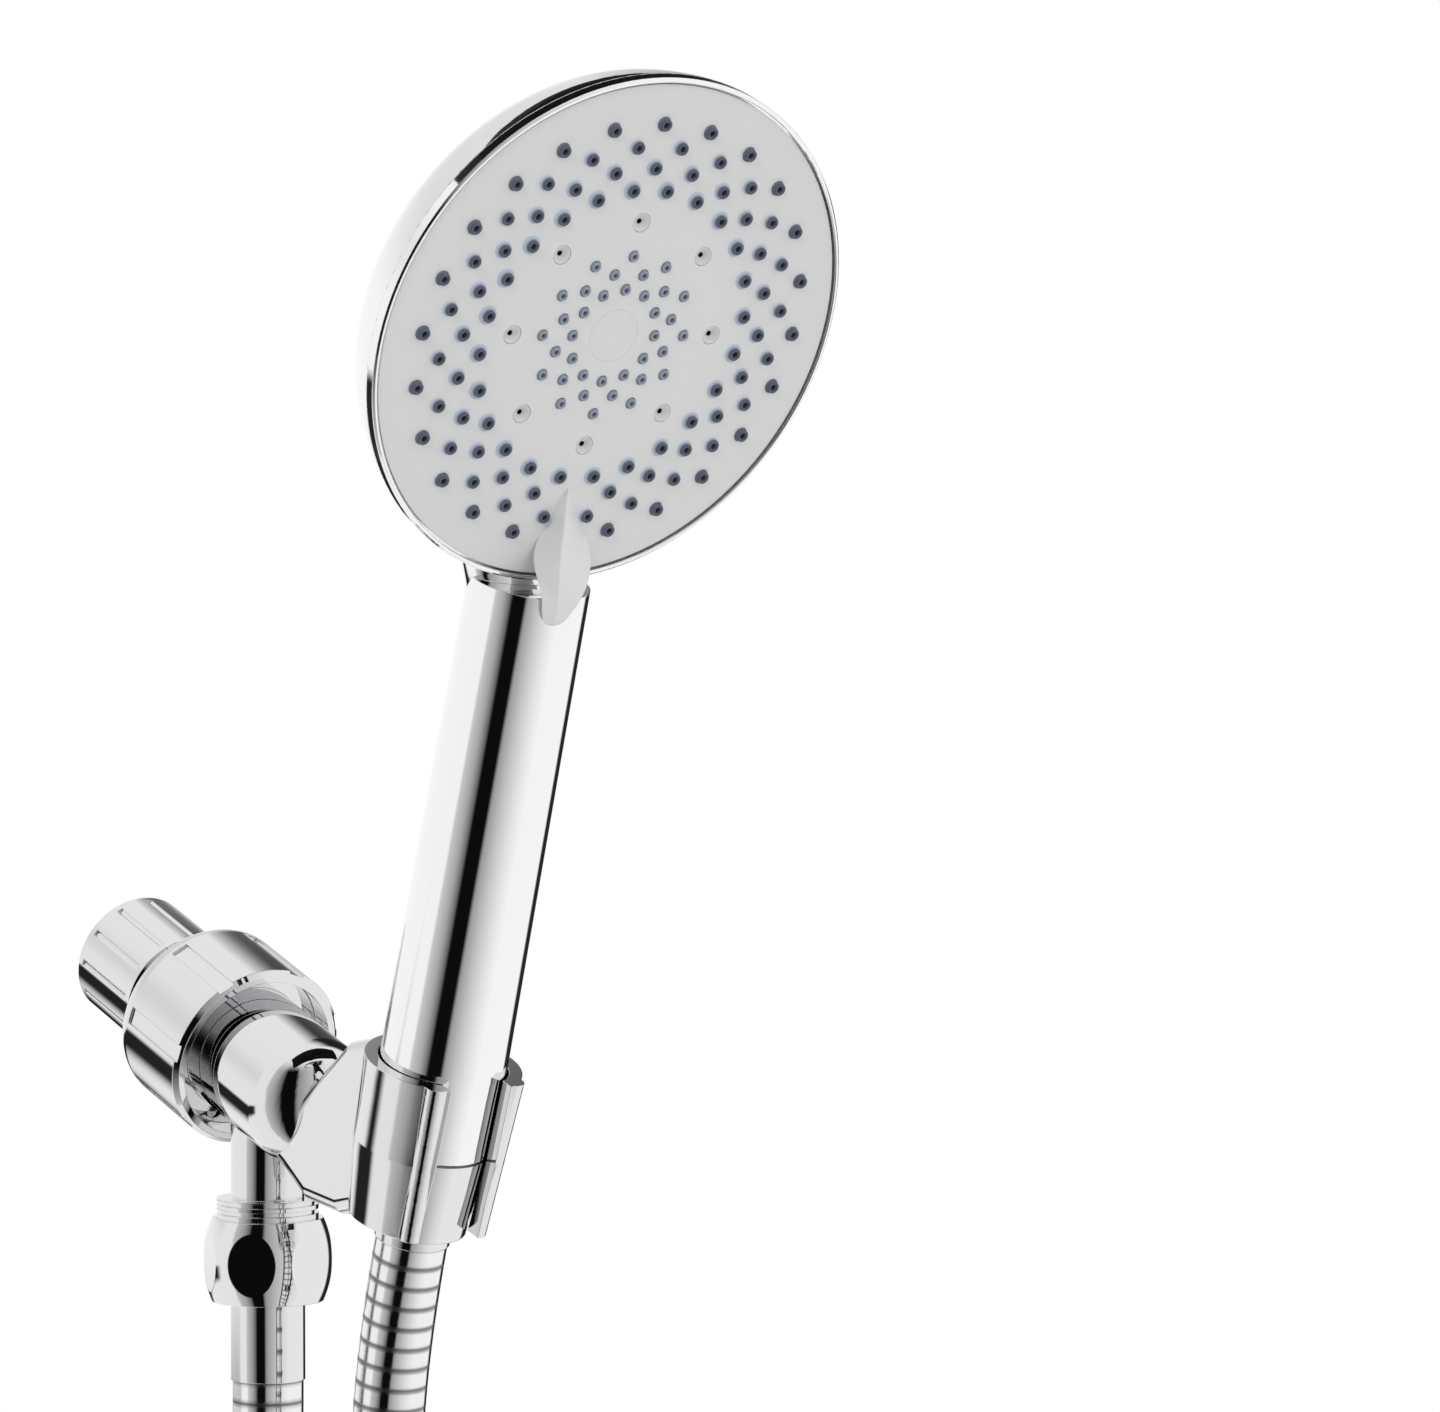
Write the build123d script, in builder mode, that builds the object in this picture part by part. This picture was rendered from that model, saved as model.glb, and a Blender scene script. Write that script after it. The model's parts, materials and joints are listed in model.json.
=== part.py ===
from build123d import *
import os
from math import atan2, cos, degrees, pi, radians, sin, sqrt, tan

# Handheld shower head on its shower-arm bracket, in millimetres.
# +Z is up and the spray face looks towards -Y. The origin is the centre of the mouth of the
# arm nut's thread. "Forward" below is the distance along -Y, "up" the distance along +Z.

# ---- Driving dimensions -------------------------------------------------------------------
PIPE_R = 20.955 / 2            # G1/2 thread, outer radius
PIPE_PITCH = 1.814             # G1/2 thread, pitch
THREAD_CLEAR = 0.05            # radial gap between a male and a female thread
RUN_CLEAR = 0.05               # radial gap of a running fit
COVER_CLEAR = 0.4              # gap between covers that move past each other

# Arm nut and ball stem, measured along the inlet axis from the mouth
INLET_SLOPE = 20.0             # inlet axis below horizontal, degrees
ARM_NUT_R = 13.3
ARM_NUT_LENGTH = 22.4
ARM_NUT_CHAMFER = 1.5
ARM_THREAD_DEPTH = 12.6
ARM_RELIEF = 0.4               # depth of the undercut behind the thread
ARM_WASHER_THICK = 2.4
ARM_WASHER_BORE = 6.5
SCREEN_THICK = 0.8
ARM_RIBS = 12
ARM_RIB_GROOVE_R = 0.8
STEM_FLANGE_THICK = 1.5
STEM_R = 8.2
STEM_BORE = 4.5
BALL_R = 11.5
BALL_FRONT = 8.5               # flat at the front of the ball, from its centre
CUP_THICK = 1.55
CUP_REAR_ANGLE = 60.0          # edges of the ball cup, from the rear of the inlet axis
CUP_FRONT_ANGLE = 83.0

# Ball-joint collar
COLLAR_R = 19.4
COLLAR_GAP = 3.7               # between the arm nut and the collar
COLLAR_LIP = 1.1745            # thickness of the collar at its opening
COLLAR_REACH = 17.4            # from the ball's centre to the collar's mouth
COLLAR_SHOULDER = 5.0
COLLAR_OPENING = 11.3
COLLAR_THREAD_R = 17.0
COLLAR_MOUTH_CHAMFER = 1.0
COLLAR_FLUTES = 7
COLLAR_FLUTE_WIDTH = 3.6
COLLAR_FLUTE_DEPTH = 0.5
COLLAR_FLUTE_LENGTH = 19.9
COLLAR_FLUTE_TURN = 20.0
COLLAR_BORE_START = 1.0        # threaded bore, in front of the ball's centre

# Bracket body
SEAT_GAP = 1.4                 # seat in front of the ball's centre
SEAT_THICK = 4.0
SEAT_R = 16.6
BALL_RING_WIRE = 1.0
BALL_RING_REACH = 6.5          # ring in front of the ball's centre
FLANGE_REACH = 12.0            # flange's end in front of the ball's centre
CHAMBER_MARGIN = 1.0           # water chamber, wider than the stem
NECK_R = 13.5
NECK_END = 83.0
NECK_ROUND = 12.0
NECK_BORE = 6.0
NECK_BORE_END = 60.0
OUTLET_FORWARD = 52.0
OUTLET_R = 7.5
OUTLET_BORE = 5.0
OUTLET_THREAD_TOP = -45.7
OUTLET_THREAD_LENGTH = 12.6
THREAD_GROOVE = 0.9
WEB_HALF = 8.0
WEB_ROUND = 3.0

# Cradle and the handle's seat in it, measured along the handle axis from the cradle's top
CRADLE_FORWARD = 116.5
CRADLE_UP = -12.5
HANDLE_LEAN = 17.5             # handle axis forward of vertical, degrees
CRADLE_LENGTH = 33.0
CRADLE_WALL = 2.7
CRADLE_CLEAR = 0.4
CRADLE_SLOT_HALF = 7.0
JAW_BEAD_R = 2.5
JAW_ANGLE = 38.0

# Handset
HANDLE_R = 12.65               # at the cradle's top
HANDLE_TOP_R = 11.85
HANDLE_END = -17.0
HANDLE_END_R = 12.05
HANDLE_WALL = 2.4
HANDLE_STRAIGHT = 100.0
FACE_SLOPE = 24.2              # face normal below horizontal, degrees
HEAD_R = 51.7
HEAD_WALL = 2.2
HEAD_DEPTH = 25.0
NECK_ROOT = 7.0                # neck drawn down inside the handle
NECK_GAP = 1.2                 # from the end of the straight handle to the head's lower edge
HEAD_PROUD = 1.65              # nozzle tips at the face centre, in front of the handle
RIM_WIDTH = 1.0
RIM_BACK = 4.4
RIM_FRONT = 1.9
RIM_EDGE = 0.4                 # chamfer round the front of the rim
FACE_CENTRE_DEPTH = 0.9
FACE_EDGE_DEPTH = 2.5
FACE_BACK = 4.4
MAT_BORDER = 3.3               # bare face plate outside the mat
MAT_THICK = 1.6
DISC_BORDER = 0.5              # mat outside the selector disc
DISC_THICK = 2.2
VALVE_SEAT = 3.7               # shell wall and ledge round the valve body
VALVE_FRONT = 9.2
VALVE_BACK = 11.0
SPINDLE_R = 4.0
HUB_R = 8.0
CAP_R = 5.3
CAP_THICK = 1.2
SCREW_R = 1.65
SCREW_HEAD_R = 3.2
SCREW_HEAD_THICK = 1.8
SCREW_LENGTH = 8.0
WASHER_R = 4.9
WASHER_THICK = 0.8

# Spray pattern. Each ring is placed between the first and the last by its share of the way.
OUTER_COLUMNS = 24
OUTER_SHARES = (1.0, 0.87, 0.74, 0.61)
INNER_COLUMNS = 12
INNER_SHARES = (0.0, 0.103, 0.205)
MIST_COUNT = 8
MIST_SHARE = 0.408
FIRST_RING = 9.4
RING_BORDER = 7.8              # face plate outside the last ring
NOZZLE_R = 1.25
SMALL_NOZZLE_R = 0.95
NOZZLE_TIP = 1.0               # height of a tip over the face
NOZZLE_CLEAR = 0.2
MIST_R = 1.9
MIST_FLANGE_R = 3.0

# Port seals and detent
PORT_COUNT = 3
PORT_RING = 21.0
SEAL_R = 3.4
SEAL_BORE = 1.8
POCKET_CLEAR = 0.1
POCKET_DEPTH = 4.6
POCKET_WALL = 1.4
DETENT_RING = 33.0
DETENT_BALL_R = 1.5
DETENT_SUNK = 0.5

# Mode lever
LEVER_HALF = 6.2
LEVER_TIP_HALF = 1.2
LEVER_OVERHANG = 5.8           # reach of the tongue past the rim
LEVER_LENGTH = 26.0
LEVER_TAPER = 16.5             # length over which the fin widens
LEVER_TONGUE = 7.0             # length of the raised tongue
LEVER_THICK = 1.8
LEVER_ROUND = 0.8
PEG_HALF = 2.2                 # peg that holds the lever in the face plate
PEG_LENGTH = 10.0
PEG_BORDER = 4.3               # face plate outside the peg

# Water way in the handle
TUBE_R = 6.2
TUBE_BORE = 4.6
TUBE_SHORT = 16.0              # tube's top below the end of the straight handle
TUBE_NECK_R = 8.0
TUBE_NECK_LENGTH = 4.0
TUBE_NECK_CLEAR = 0.05
TUBE_THREAD_LENGTH = 7.0
SNOUT_R = 3.6
SNOUT_BORE = 2.4
SNOUT_INSET = 15.7             # duct's upper end, inside the head's edge
SNOUT_BACK = 1.0               # set back of the duct where it leaves the water tube
RESTRICTOR_THICK = 3.0
RESTRICTOR_BORE = 1.6

# Cone nut and hose ends
CONE_GAP = 0.6
CONE_TOP_R = 12.0
CONE_END = -34.5
CONE_END_R = 10.3
CONE_WASHER_THICK = 2.0
TAIL_FLANGE_R = 9.8
TAIL_FLANGE_THICK = 1.2
SHOULDER_CLEAR = 0.05
FERRULE_R = 7.6
FERRULE_BORE = 4.5
CONE_FERRULE_END = -37.5
HOSE_NUT_R = 13.2
HOSE_NUT_END_R = 11.4
HOSE_NUT_GAP = 4.1             # thread left showing above the nut
HOSE_NUT_HEIGHT = 17.0
HOSE_NUT_FLAT = 12.2           # flats, from the nut's axis
HOSE_WASHER_THICK = 2.4
FERRULE_BOTTOM = -83.0

# Hose
HOSE_R = 7.25
COIL_FORWARD = 72.5
COIL_UP = -243.0
COIL_R = 73.0
COIL_HALF = 21.0               # outermost turn, to each side of the middle
COIL_MARGIN = 0.5
COIL_CORNER = 7.5
RUN_SHARE = 0.45               # part of the shorter run that an arc may use
TIE_ANGLE = 9.5                # width of the tie, in degrees round the coil
TIE_THICK = 1.6
TIE_GAP = 0.1
HOSE_LEAD = 26.0               # straight run along the handle axis, below its ferrule
# Route of the hose outside its coil, as (forward, up, across), down from each end
OUTLET_RUN = (
    (52.0, -83.0, 0.0), (52.0, -110.0, 0.0), (45.7, -136.0, -3.5), (33.0, -158.5, -9.0),
    (15.8, -175.6, -14.5), (3.9, -196.6, -18.8), (-1.3, -220.0, -21.0), (-1.0, -243.0, -21.0),
)
HANDSET_RUN = (
    (94.9, -108.0, 0.0), (101.6, -134.0, 3.5), (114.0, -156.5, 9.0), (130.6, -174.2, 14.5),
    (141.8, -195.4, 18.8), (146.4, -218.8, 21.0), (146.0, -243.0, 21.0),
)


# ---- Frames -------------------------------------------------------------------------------
def place(forward, up, across=0.0):
    """Point given by its distances forward, up and across."""
    return Vector(across, -forward, up)


ACROSS = Vector(1, 0, 0)
INLET_AXIS = Axis((0, 0, 0), place(cos(radians(INLET_SLOPE)), -sin(radians(INLET_SLOPE))))
HANDLE_UP = place(sin(radians(HANDLE_LEAN)), cos(radians(HANDLE_LEAN)))
HANDLE_AXIS = Axis(place(CRADLE_FORWARD, CRADLE_UP), HANDLE_UP)
HANDLE_FRONT = HANDLE_UP.cross(ACROSS) * -1
FACE_OUT = place(cos(radians(FACE_SLOPE)), -sin(radians(FACE_SLOPE)))
HEAD_AT = HANDLE_STRAIGHT + NECK_GAP + HEAD_R
HEAD_FORWARD = HANDLE_TOP_R + HEAD_PROUD
FACE_CENTRE = HANDLE_AXIS.position + HANDLE_UP * HEAD_AT + HANDLE_FRONT * HEAD_FORWARD
FACE_AXIS = Axis(FACE_CENTRE, FACE_OUT)
OUTLET_AXIS = Axis(place(OUTLET_FORWARD, 0), (0, 0, 1))
OUTLET_THREAD_END = OUTLET_THREAD_TOP - OUTLET_THREAD_LENGTH
OUTLET_START = -OUTLET_FORWARD * tan(radians(INLET_SLOPE))

# ---- Sizes that follow from others --------------------------------------------------------
SOCKET_R = BALL_R + 2 * RUN_CLEAR + CUP_THICK
COLLAR_BACK = ARM_NUT_LENGTH + COLLAR_GAP
BALL_AT = COLLAR_BACK + COLLAR_LIP + sqrt(SOCKET_R ** 2 - COLLAR_OPENING ** 2)
COLLAR_MOUTH = BALL_AT + COLLAR_REACH
SEAT_BACK = BALL_AT + SEAT_GAP
SEAT_FRONT = SEAT_BACK + SEAT_THICK
BALL_RING_AT = BALL_AT + BALL_RING_REACH
FLANGE_FRONT = BALL_AT + FLANGE_REACH
HEAD_TILT = radians(FACE_SLOPE - HANDLE_LEAN)
FACE_R = HEAD_R - RIM_WIDTH - COVER_CLEAR
MAT_R = FACE_R - MAT_BORDER
DISC_R = MAT_R - DISC_BORDER
VALVE_R = HEAD_R - VALVE_SEAT
RING_SPAN = FACE_R - RING_BORDER - FIRST_RING
MIST_RING = FIRST_RING + MIST_SHARE * RING_SPAN
LEVER_REACH = HEAD_R + LEVER_OVERHANG
LEVER_ROOT = LEVER_REACH - LEVER_LENGTH
PEG_END = FACE_R - PEG_BORDER
PEG_MIDDLE = PEG_END - PEG_LENGTH / 2
SNOUT_DROP = HEAD_R - SNOUT_INSET
TUBE_TOP = HANDLE_STRAIGHT - TUBE_SHORT
NOZZLE_RINGS = (
    # count, radius, turn in degrees, nozzle radius, height of the tip over the face
    *((OUTER_COLUMNS, FIRST_RING + share * RING_SPAN, 180 / OUTER_COLUMNS * (number % 2), NOZZLE_R,
       NOZZLE_TIP) for number, share in enumerate(OUTER_SHARES)),
    *((INNER_COLUMNS, FIRST_RING + share * RING_SPAN, 180 / INNER_COLUMNS * (number % 2),
       SMALL_NOZZLE_R, NOZZLE_TIP / 2) for number, share in enumerate(INNER_SHARES)),
)


def across_axis(axis, distance=0.0):
    """Plane square to an axis, at a distance along it, with its X across the object."""
    return Plane(origin=axis.position + axis.direction * distance, x_dir=ACROSS,
                 z_dir=axis.direction)


def turn(outline, axis, mode=Mode.ADD):
    """Turns a closed outline of (radius, distance along the axis) points about the axis."""
    half_plane = Plane(origin=axis.position, x_dir=ACROSS, z_dir=ACROSS.cross(axis.direction))
    with BuildSketch(half_plane) as section:
        with BuildLine():
            Polyline(*outline, close=True)
        make_face()
    revolve(section.sketch, axis=axis, mode=mode)


def ring(axis, inner, outer, start, end, mode=Mode.ADD):
    """Round bar or ring between two distances along an axis."""
    with BuildSketch(across_axis(axis, start)) as section:
        Circle(outer)
        if inner:
            Circle(inner, mode=Mode.SUBTRACT)
    extrude(section.sketch, amount=end - start, mode=mode)


def save(piece, name):
    """Labels a finished piece and writes it as its own file."""
    piece.part.label = name
    export_step(piece.part, f"parts/{name}.step")


def ball_point(radius, angle):
    """(radius, distance) of a point about the ball's centre, angle from the rear."""
    return (radius * sin(radians(angle)), BALL_AT - radius * cos(radians(angle)))


# ---- Arm nut and ball joint ---------------------------------------------------------------
def arm_nut():
    washer_end = ARM_THREAD_DEPTH + ARM_WASHER_THICK
    wall_start = washer_end + STEM_FLANGE_THICK + RUN_CLEAR
    with BuildPart() as piece:
        turn([
            (PIPE_R, 0), (ARM_NUT_R, 0), (ARM_NUT_R, ARM_NUT_LENGTH - ARM_NUT_CHAMFER),
            (ARM_NUT_R - ARM_NUT_CHAMFER, ARM_NUT_LENGTH), (STEM_R + RUN_CLEAR, ARM_NUT_LENGTH),
            (STEM_R + RUN_CLEAR, wall_start), (PIPE_R + ARM_RELIEF, wall_start),
            (PIPE_R + ARM_RELIEF, ARM_THREAD_DEPTH), (PIPE_R, ARM_THREAD_DEPTH),
        ], INLET_AXIS)
        with BuildSketch(across_axis(INLET_AXIS, ARM_NUT_CHAMFER)) as grooves:
            with PolarLocations(ARM_NUT_R + ARM_RIB_GROOVE_R / 2, ARM_RIBS):
                Circle(ARM_RIB_GROOVE_R)
        extrude(grooves.sketch, amount=ARM_NUT_LENGTH - 3 * ARM_NUT_CHAMFER, mode=Mode.SUBTRACT)
    save(piece, "arm_nut")


def arm_washer():
    with BuildPart() as piece:
        ring(INLET_AXIS, ARM_WASHER_BORE, PIPE_R + ARM_RELIEF, ARM_THREAD_DEPTH,
             ARM_THREAD_DEPTH + ARM_WASHER_THICK)
    save(piece, "arm_washer")


def filter_screen():
    with BuildPart() as piece:
        ring(INLET_AXIS, 0, ARM_WASHER_BORE, ARM_THREAD_DEPTH + SCREEN_THICK,
             ARM_THREAD_DEPTH + 2 * SCREEN_THICK)
    save(piece, "filter_screen")


def ball_stem():
    flange_start = ARM_THREAD_DEPTH + ARM_WASHER_THICK
    stem_end = BALL_AT - sqrt(BALL_R ** 2 - STEM_R ** 2)
    half_plane = Plane(origin=(0, 0, 0), x_dir=ACROSS,
                       z_dir=ACROSS.cross(INLET_AXIS.direction))
    front_r = sqrt(BALL_R ** 2 - BALL_FRONT ** 2)
    flange_r = PIPE_R + ARM_RELIEF - RUN_CLEAR
    with BuildPart() as piece:
        with BuildSketch(half_plane):
            with BuildLine():
                start = (STEM_R, stem_end)
                end = (front_r, BALL_AT + BALL_FRONT)
                ThreePointArc(start, ball_point(BALL_R, 90), end)
                Polyline(end, (STEM_BORE, BALL_AT + BALL_FRONT), (STEM_BORE, flange_start),
                         (flange_r, flange_start),
                         (flange_r, flange_start + STEM_FLANGE_THICK),
                         (STEM_R, flange_start + STEM_FLANGE_THICK), start)
            make_face()
        revolve(axis=INLET_AXIS)
    save(piece, "ball_stem")


def ball_cup():
    inner = BALL_R + RUN_CLEAR
    outer = inner + CUP_THICK
    middle = (CUP_REAR_ANGLE + CUP_FRONT_ANGLE) / 2
    half_plane = Plane(origin=(0, 0, 0), x_dir=ACROSS,
                       z_dir=ACROSS.cross(INLET_AXIS.direction))
    with BuildPart() as piece:
        with BuildSketch(half_plane):
            with BuildLine():
                inside = ThreePointArc(ball_point(inner, CUP_REAR_ANGLE),
                                       ball_point(inner, middle),
                                       ball_point(inner, CUP_FRONT_ANGLE))
                outside = ThreePointArc(ball_point(outer, CUP_REAR_ANGLE),
                                        ball_point(outer, middle),
                                        ball_point(outer, CUP_FRONT_ANGLE))
                Line(inside @ 0, outside @ 0)
                Line(inside @ 1, outside @ 1)
            make_face()
        revolve(axis=INLET_AXIS)
    save(piece, "ball_cup")


def ball_collar():
    lip_angle = degrees(atan2(COLLAR_OPENING, sqrt(SOCKET_R ** 2 - COLLAR_OPENING ** 2)))
    lip = ball_point(SOCKET_R, lip_angle)
    wide = ball_point(SOCKET_R, 90)
    bore_start = BALL_AT + COLLAR_BORE_START
    half_plane = Plane(origin=(0, 0, 0), x_dir=ACROSS,
                       z_dir=ACROSS.cross(INLET_AXIS.direction))
    with BuildPart() as piece:
        with BuildSketch(half_plane):
            with BuildLine():
                ThreePointArc(lip, ball_point(SOCKET_R, (lip_angle + 90) / 2), wide)
                Polyline(wide, (SOCKET_R, bore_start), (COLLAR_THREAD_R, bore_start),
                         (COLLAR_THREAD_R, COLLAR_MOUTH), (COLLAR_R, COLLAR_MOUTH),
                         (COLLAR_R, COLLAR_BACK), (COLLAR_OPENING, COLLAR_BACK), lip)
            make_face()
        revolve(axis=INLET_AXIS)
        circles = piece.edges().filter_by(GeomType.CIRCLE)
        rims = circles.filter_by(lambda edge: abs(edge.radius - COLLAR_R) < 1e-3)
        shoulder = rims.sort_by(Axis(INLET_AXIS.position, INLET_AXIS.direction))
        fillet(shoulder[0], COLLAR_SHOULDER)
        circles = piece.edges().filter_by(GeomType.CIRCLE)
        rims = circles.filter_by(lambda edge: abs(edge.radius - COLLAR_R) < 1e-3)
        chamfer(rims.sort_by(Axis(INLET_AXIS.position, INLET_AXIS.direction))[-1],
                COLLAR_MOUTH_CHAMFER)
        with BuildSketch(across_axis(INLET_AXIS, COLLAR_MOUTH - COLLAR_FLUTE_LENGTH)) as flutes:
            with PolarLocations(COLLAR_R, COLLAR_FLUTES, start_angle=COLLAR_FLUTE_TURN):
                Rectangle(2 * COLLAR_FLUTE_DEPTH, COLLAR_FLUTE_WIDTH)
        extrude(flutes.sketch, amount=COLLAR_FLUTE_LENGTH, mode=Mode.SUBTRACT)
    save(piece, "ball_collar")


def ball_seat():
    inner = BALL_R + RUN_CLEAR
    back = (sqrt(inner ** 2 - (SEAT_BACK - BALL_AT) ** 2), SEAT_BACK)
    front = (sqrt(inner ** 2 - (SEAT_FRONT - BALL_AT) ** 2), SEAT_FRONT)
    middle_at = (SEAT_BACK + SEAT_FRONT) / 2
    middle = (sqrt(inner ** 2 - (middle_at - BALL_AT) ** 2), middle_at)
    half_plane = Plane(origin=(0, 0, 0), x_dir=ACROSS,
                       z_dir=ACROSS.cross(INLET_AXIS.direction))
    with BuildPart() as piece:
        with BuildSketch(half_plane):
            with BuildLine():
                ThreePointArc(back, middle, front)
                Polyline(front, (SEAT_R, SEAT_FRONT), (SEAT_R, SEAT_BACK), back)
            make_face()
        revolve(axis=INLET_AXIS)
    save(piece, "ball_seat")


def ball_ring_radius():
    """Radius of the seal ring's wire centre, just off the ball."""
    reach = BALL_R + RUN_CLEAR + BALL_RING_WIRE
    return sqrt(reach ** 2 - (BALL_RING_AT - BALL_AT) ** 2)


def ball_seal_ring():
    half_plane = Plane(origin=(0, 0, 0), x_dir=ACROSS,
                       z_dir=ACROSS.cross(INLET_AXIS.direction))
    with BuildPart() as piece:
        with BuildSketch(half_plane):
            with Locations((ball_ring_radius(), BALL_RING_AT)):
                Circle(BALL_RING_WIRE)
        revolve(axis=INLET_AXIS)
    save(piece, "ball_seal_ring")


# ---- Bracket body -------------------------------------------------------------------------
def seat_radius(distance):
    """Outer radius of the handle and cone nut at a distance along the handle axis."""
    if distance >= HANDLE_END:
        return HANDLE_R + (HANDLE_END_R - HANDLE_R) * distance / HANDLE_END
    share = (distance - HANDLE_END) / (CONE_END - HANDLE_END)
    return CONE_TOP_R + (CONE_END_R - CONE_TOP_R) * share


def cradle_bore(distance):
    return seat_radius(distance) + CRADLE_CLEAR


def cradle_shell():
    """Tapered ring of the cradle, added to the bracket body."""
    turn([
        (0, 0), (cradle_bore(0) + CRADLE_WALL, 0),
        (cradle_bore(HANDLE_END) + CRADLE_WALL, HANDLE_END),
        (cradle_bore(-CRADLE_LENGTH) + CRADLE_WALL, -CRADLE_LENGTH), (0, -CRADLE_LENGTH),
    ], HANDLE_AXIS)


def jaw_beads():
    """Rounded strip down the front of each jaw."""
    for side in (-1, 1):
        rims = []
        for at in (0, -CRADLE_LENGTH):
            middle = cradle_bore(at) + CRADLE_WALL / 2
            centre = (side * middle * sin(radians(JAW_ANGLE)), -middle * cos(radians(JAW_ANGLE)))
            with BuildSketch(across_axis(HANDLE_AXIS, at)) as rim:
                with Locations(centre):
                    Circle(JAW_BEAD_R)
            rims.append(rim.sketch)
        loft(rims)


def cradle_cut():
    """Tapered bore and front slot of the cradle, cut from the bracket body."""
    past = 12.0
    turn([
        (0, past), (cradle_bore(0) + past * 0.02, past), (cradle_bore(0), 0),
        (cradle_bore(HANDLE_END), HANDLE_END),
        (cradle_bore(-CRADLE_LENGTH), -CRADLE_LENGTH),
        (cradle_bore(-CRADLE_LENGTH), -CRADLE_LENGTH - past), (0, -CRADLE_LENGTH - past),
    ], HANDLE_AXIS, mode=Mode.SUBTRACT)
    with BuildSketch(across_axis(HANDLE_AXIS, -CRADLE_LENGTH - past)) as slot:
        with Locations((0, -HANDLE_R)):
            Rectangle(2 * CRADLE_SLOT_HALF, 2 * HANDLE_R)
    extrude(slot.sketch, amount=CRADLE_LENGTH + 2 * past, mode=Mode.SUBTRACT)


def web_outline():
    """Corners of the web between neck and cradle, as (forward, up)."""
    by_outlet = [(3.0, -22.0), (22.0, -24.0)]
    by_cradle = [(-32.0, -3.5), (-23.5, 2.5), (-15.5, 4.0), (-4.5, -3.5), (-12.5, -29.5),
                 (-27.1, -32.4)]
    under_outlet = [(25.1, -43.3), (17.4, -38.0), (4.6, -30.7)]
    return [
        *((OUTLET_FORWARD + forward, up) for forward, up in by_outlet),
        *((CRADLE_FORWARD + forward, CRADLE_UP + up) for forward, up in by_cradle),
        *((OUTLET_FORWARD + forward, up) for forward, up in under_outlet),
    ]


def bracket_body():
    side = Plane(origin=(0, 0, 0), x_dir=(0, -1, 0), z_dir=(-1, 0, 0))
    flange_r = COLLAR_THREAD_R - THREAD_CLEAR
    recess_r = ball_ring_radius() + BALL_RING_WIRE + RUN_CLEAR
    recess_end = BALL_RING_AT + BALL_RING_WIRE + RUN_CLEAR
    chamber_r = STEM_R + CHAMBER_MARGIN
    with BuildPart() as piece:
        with BuildSketch(side):
            with BuildLine():
                Polyline(*web_outline(), close=True)
            make_face()
        extrude(amount=WEB_HALF, both=True)
        fillet(piece.faces().filter_by(Axis.X).edges(), WEB_ROUND)
        ring(INLET_AXIS, 0, NECK_R, FLANGE_FRONT, NECK_END - NECK_ROUND)
        half_plane = Plane(origin=(0, 0, 0), x_dir=ACROSS,
                           z_dir=ACROSS.cross(INLET_AXIS.direction))
        with BuildSketch(half_plane) as dome:
            with BuildLine():
                edge = (NECK_R, NECK_END - NECK_ROUND)
                top = (0, NECK_END)
                EllipticalCenterArc((0, NECK_END - NECK_ROUND), NECK_R, NECK_ROUND, 0, arc_size=90)
                Polyline(top, (0, NECK_END - NECK_ROUND), edge)
            make_face()
        revolve(dome.sketch, axis=INLET_AXIS)
        ring(INLET_AXIS, 0, flange_r, SEAT_FRONT, FLANGE_FRONT)
        ring(OUTLET_AXIS, 0, OUTLET_R, OUTLET_THREAD_TOP, OUTLET_START)
        ring(OUTLET_AXIS, 0, PIPE_R - THREAD_CLEAR, OUTLET_THREAD_END, OUTLET_THREAD_TOP)
        cradle_shell()
        jaw_beads()
        cradle_cut()
        ring(INLET_AXIS, 0, recess_r, SEAT_FRONT, recess_end, mode=Mode.SUBTRACT)
        ring(INLET_AXIS, 0, chamber_r, recess_end, FLANGE_FRONT, mode=Mode.SUBTRACT)
        ring(INLET_AXIS, 0, NECK_BORE, FLANGE_FRONT, NECK_BORE_END, mode=Mode.SUBTRACT)
        ring(OUTLET_AXIS, 0, OUTLET_BORE, OUTLET_THREAD_END, OUTLET_START,
             mode=Mode.SUBTRACT)
        for turn_number in range(2):
            at = OUTLET_THREAD_TOP - THREAD_GROOVE - PIPE_PITCH * (turn_number + 0.2)
            ring(OUTLET_AXIS, PIPE_R - THREAD_GROOVE, PIPE_R + 1, at, at + THREAD_GROOVE,
                 mode=Mode.SUBTRACT)
    save(piece, "bracket_body")


# ---- Handset ------------------------------------------------------------------------------
def neck_sections(inset):
    """Ellipses of the handle's neck where it dives under the head, drawn in by the inset."""
    under_rim = HEAD_FORWARD - HEAD_R * sin(HEAD_TILT) - RIM_BACK
    stations = (
        # distance past the straight handle, half width, front, back
        (-NECK_ROOT, HANDLE_TOP_R - 1.6, under_rim - 0.2, HANDLE_TOP_R - 1.6),
        (0, HANDLE_TOP_R - 0.2, under_rim - 0.2, HANDLE_TOP_R - 0.2),
        (NECK_GAP + 6.8, HANDLE_TOP_R + 2.7, under_rim - 0.5, HANDLE_TOP_R + 1.6),
        (NECK_GAP + 20.8, HANDLE_TOP_R + 8.1, under_rim - 0.9, HANDLE_TOP_R + 0.8),
        (NECK_GAP + 38.8, HANDLE_TOP_R + 10.1, under_rim - 1.6, HANDLE_TOP_R - 3.8),
    )
    rims = []
    for distance, half_width, front, back in stations:
        with BuildSketch(across_axis(HANDLE_AXIS, HANDLE_STRAIGHT + distance)) as rim:
            with Locations((0, (back - front) / 2)):
                Ellipse(half_width - inset, (front + back) / 2 - inset)
        rims.append(rim.sketch)
    return rims


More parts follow.
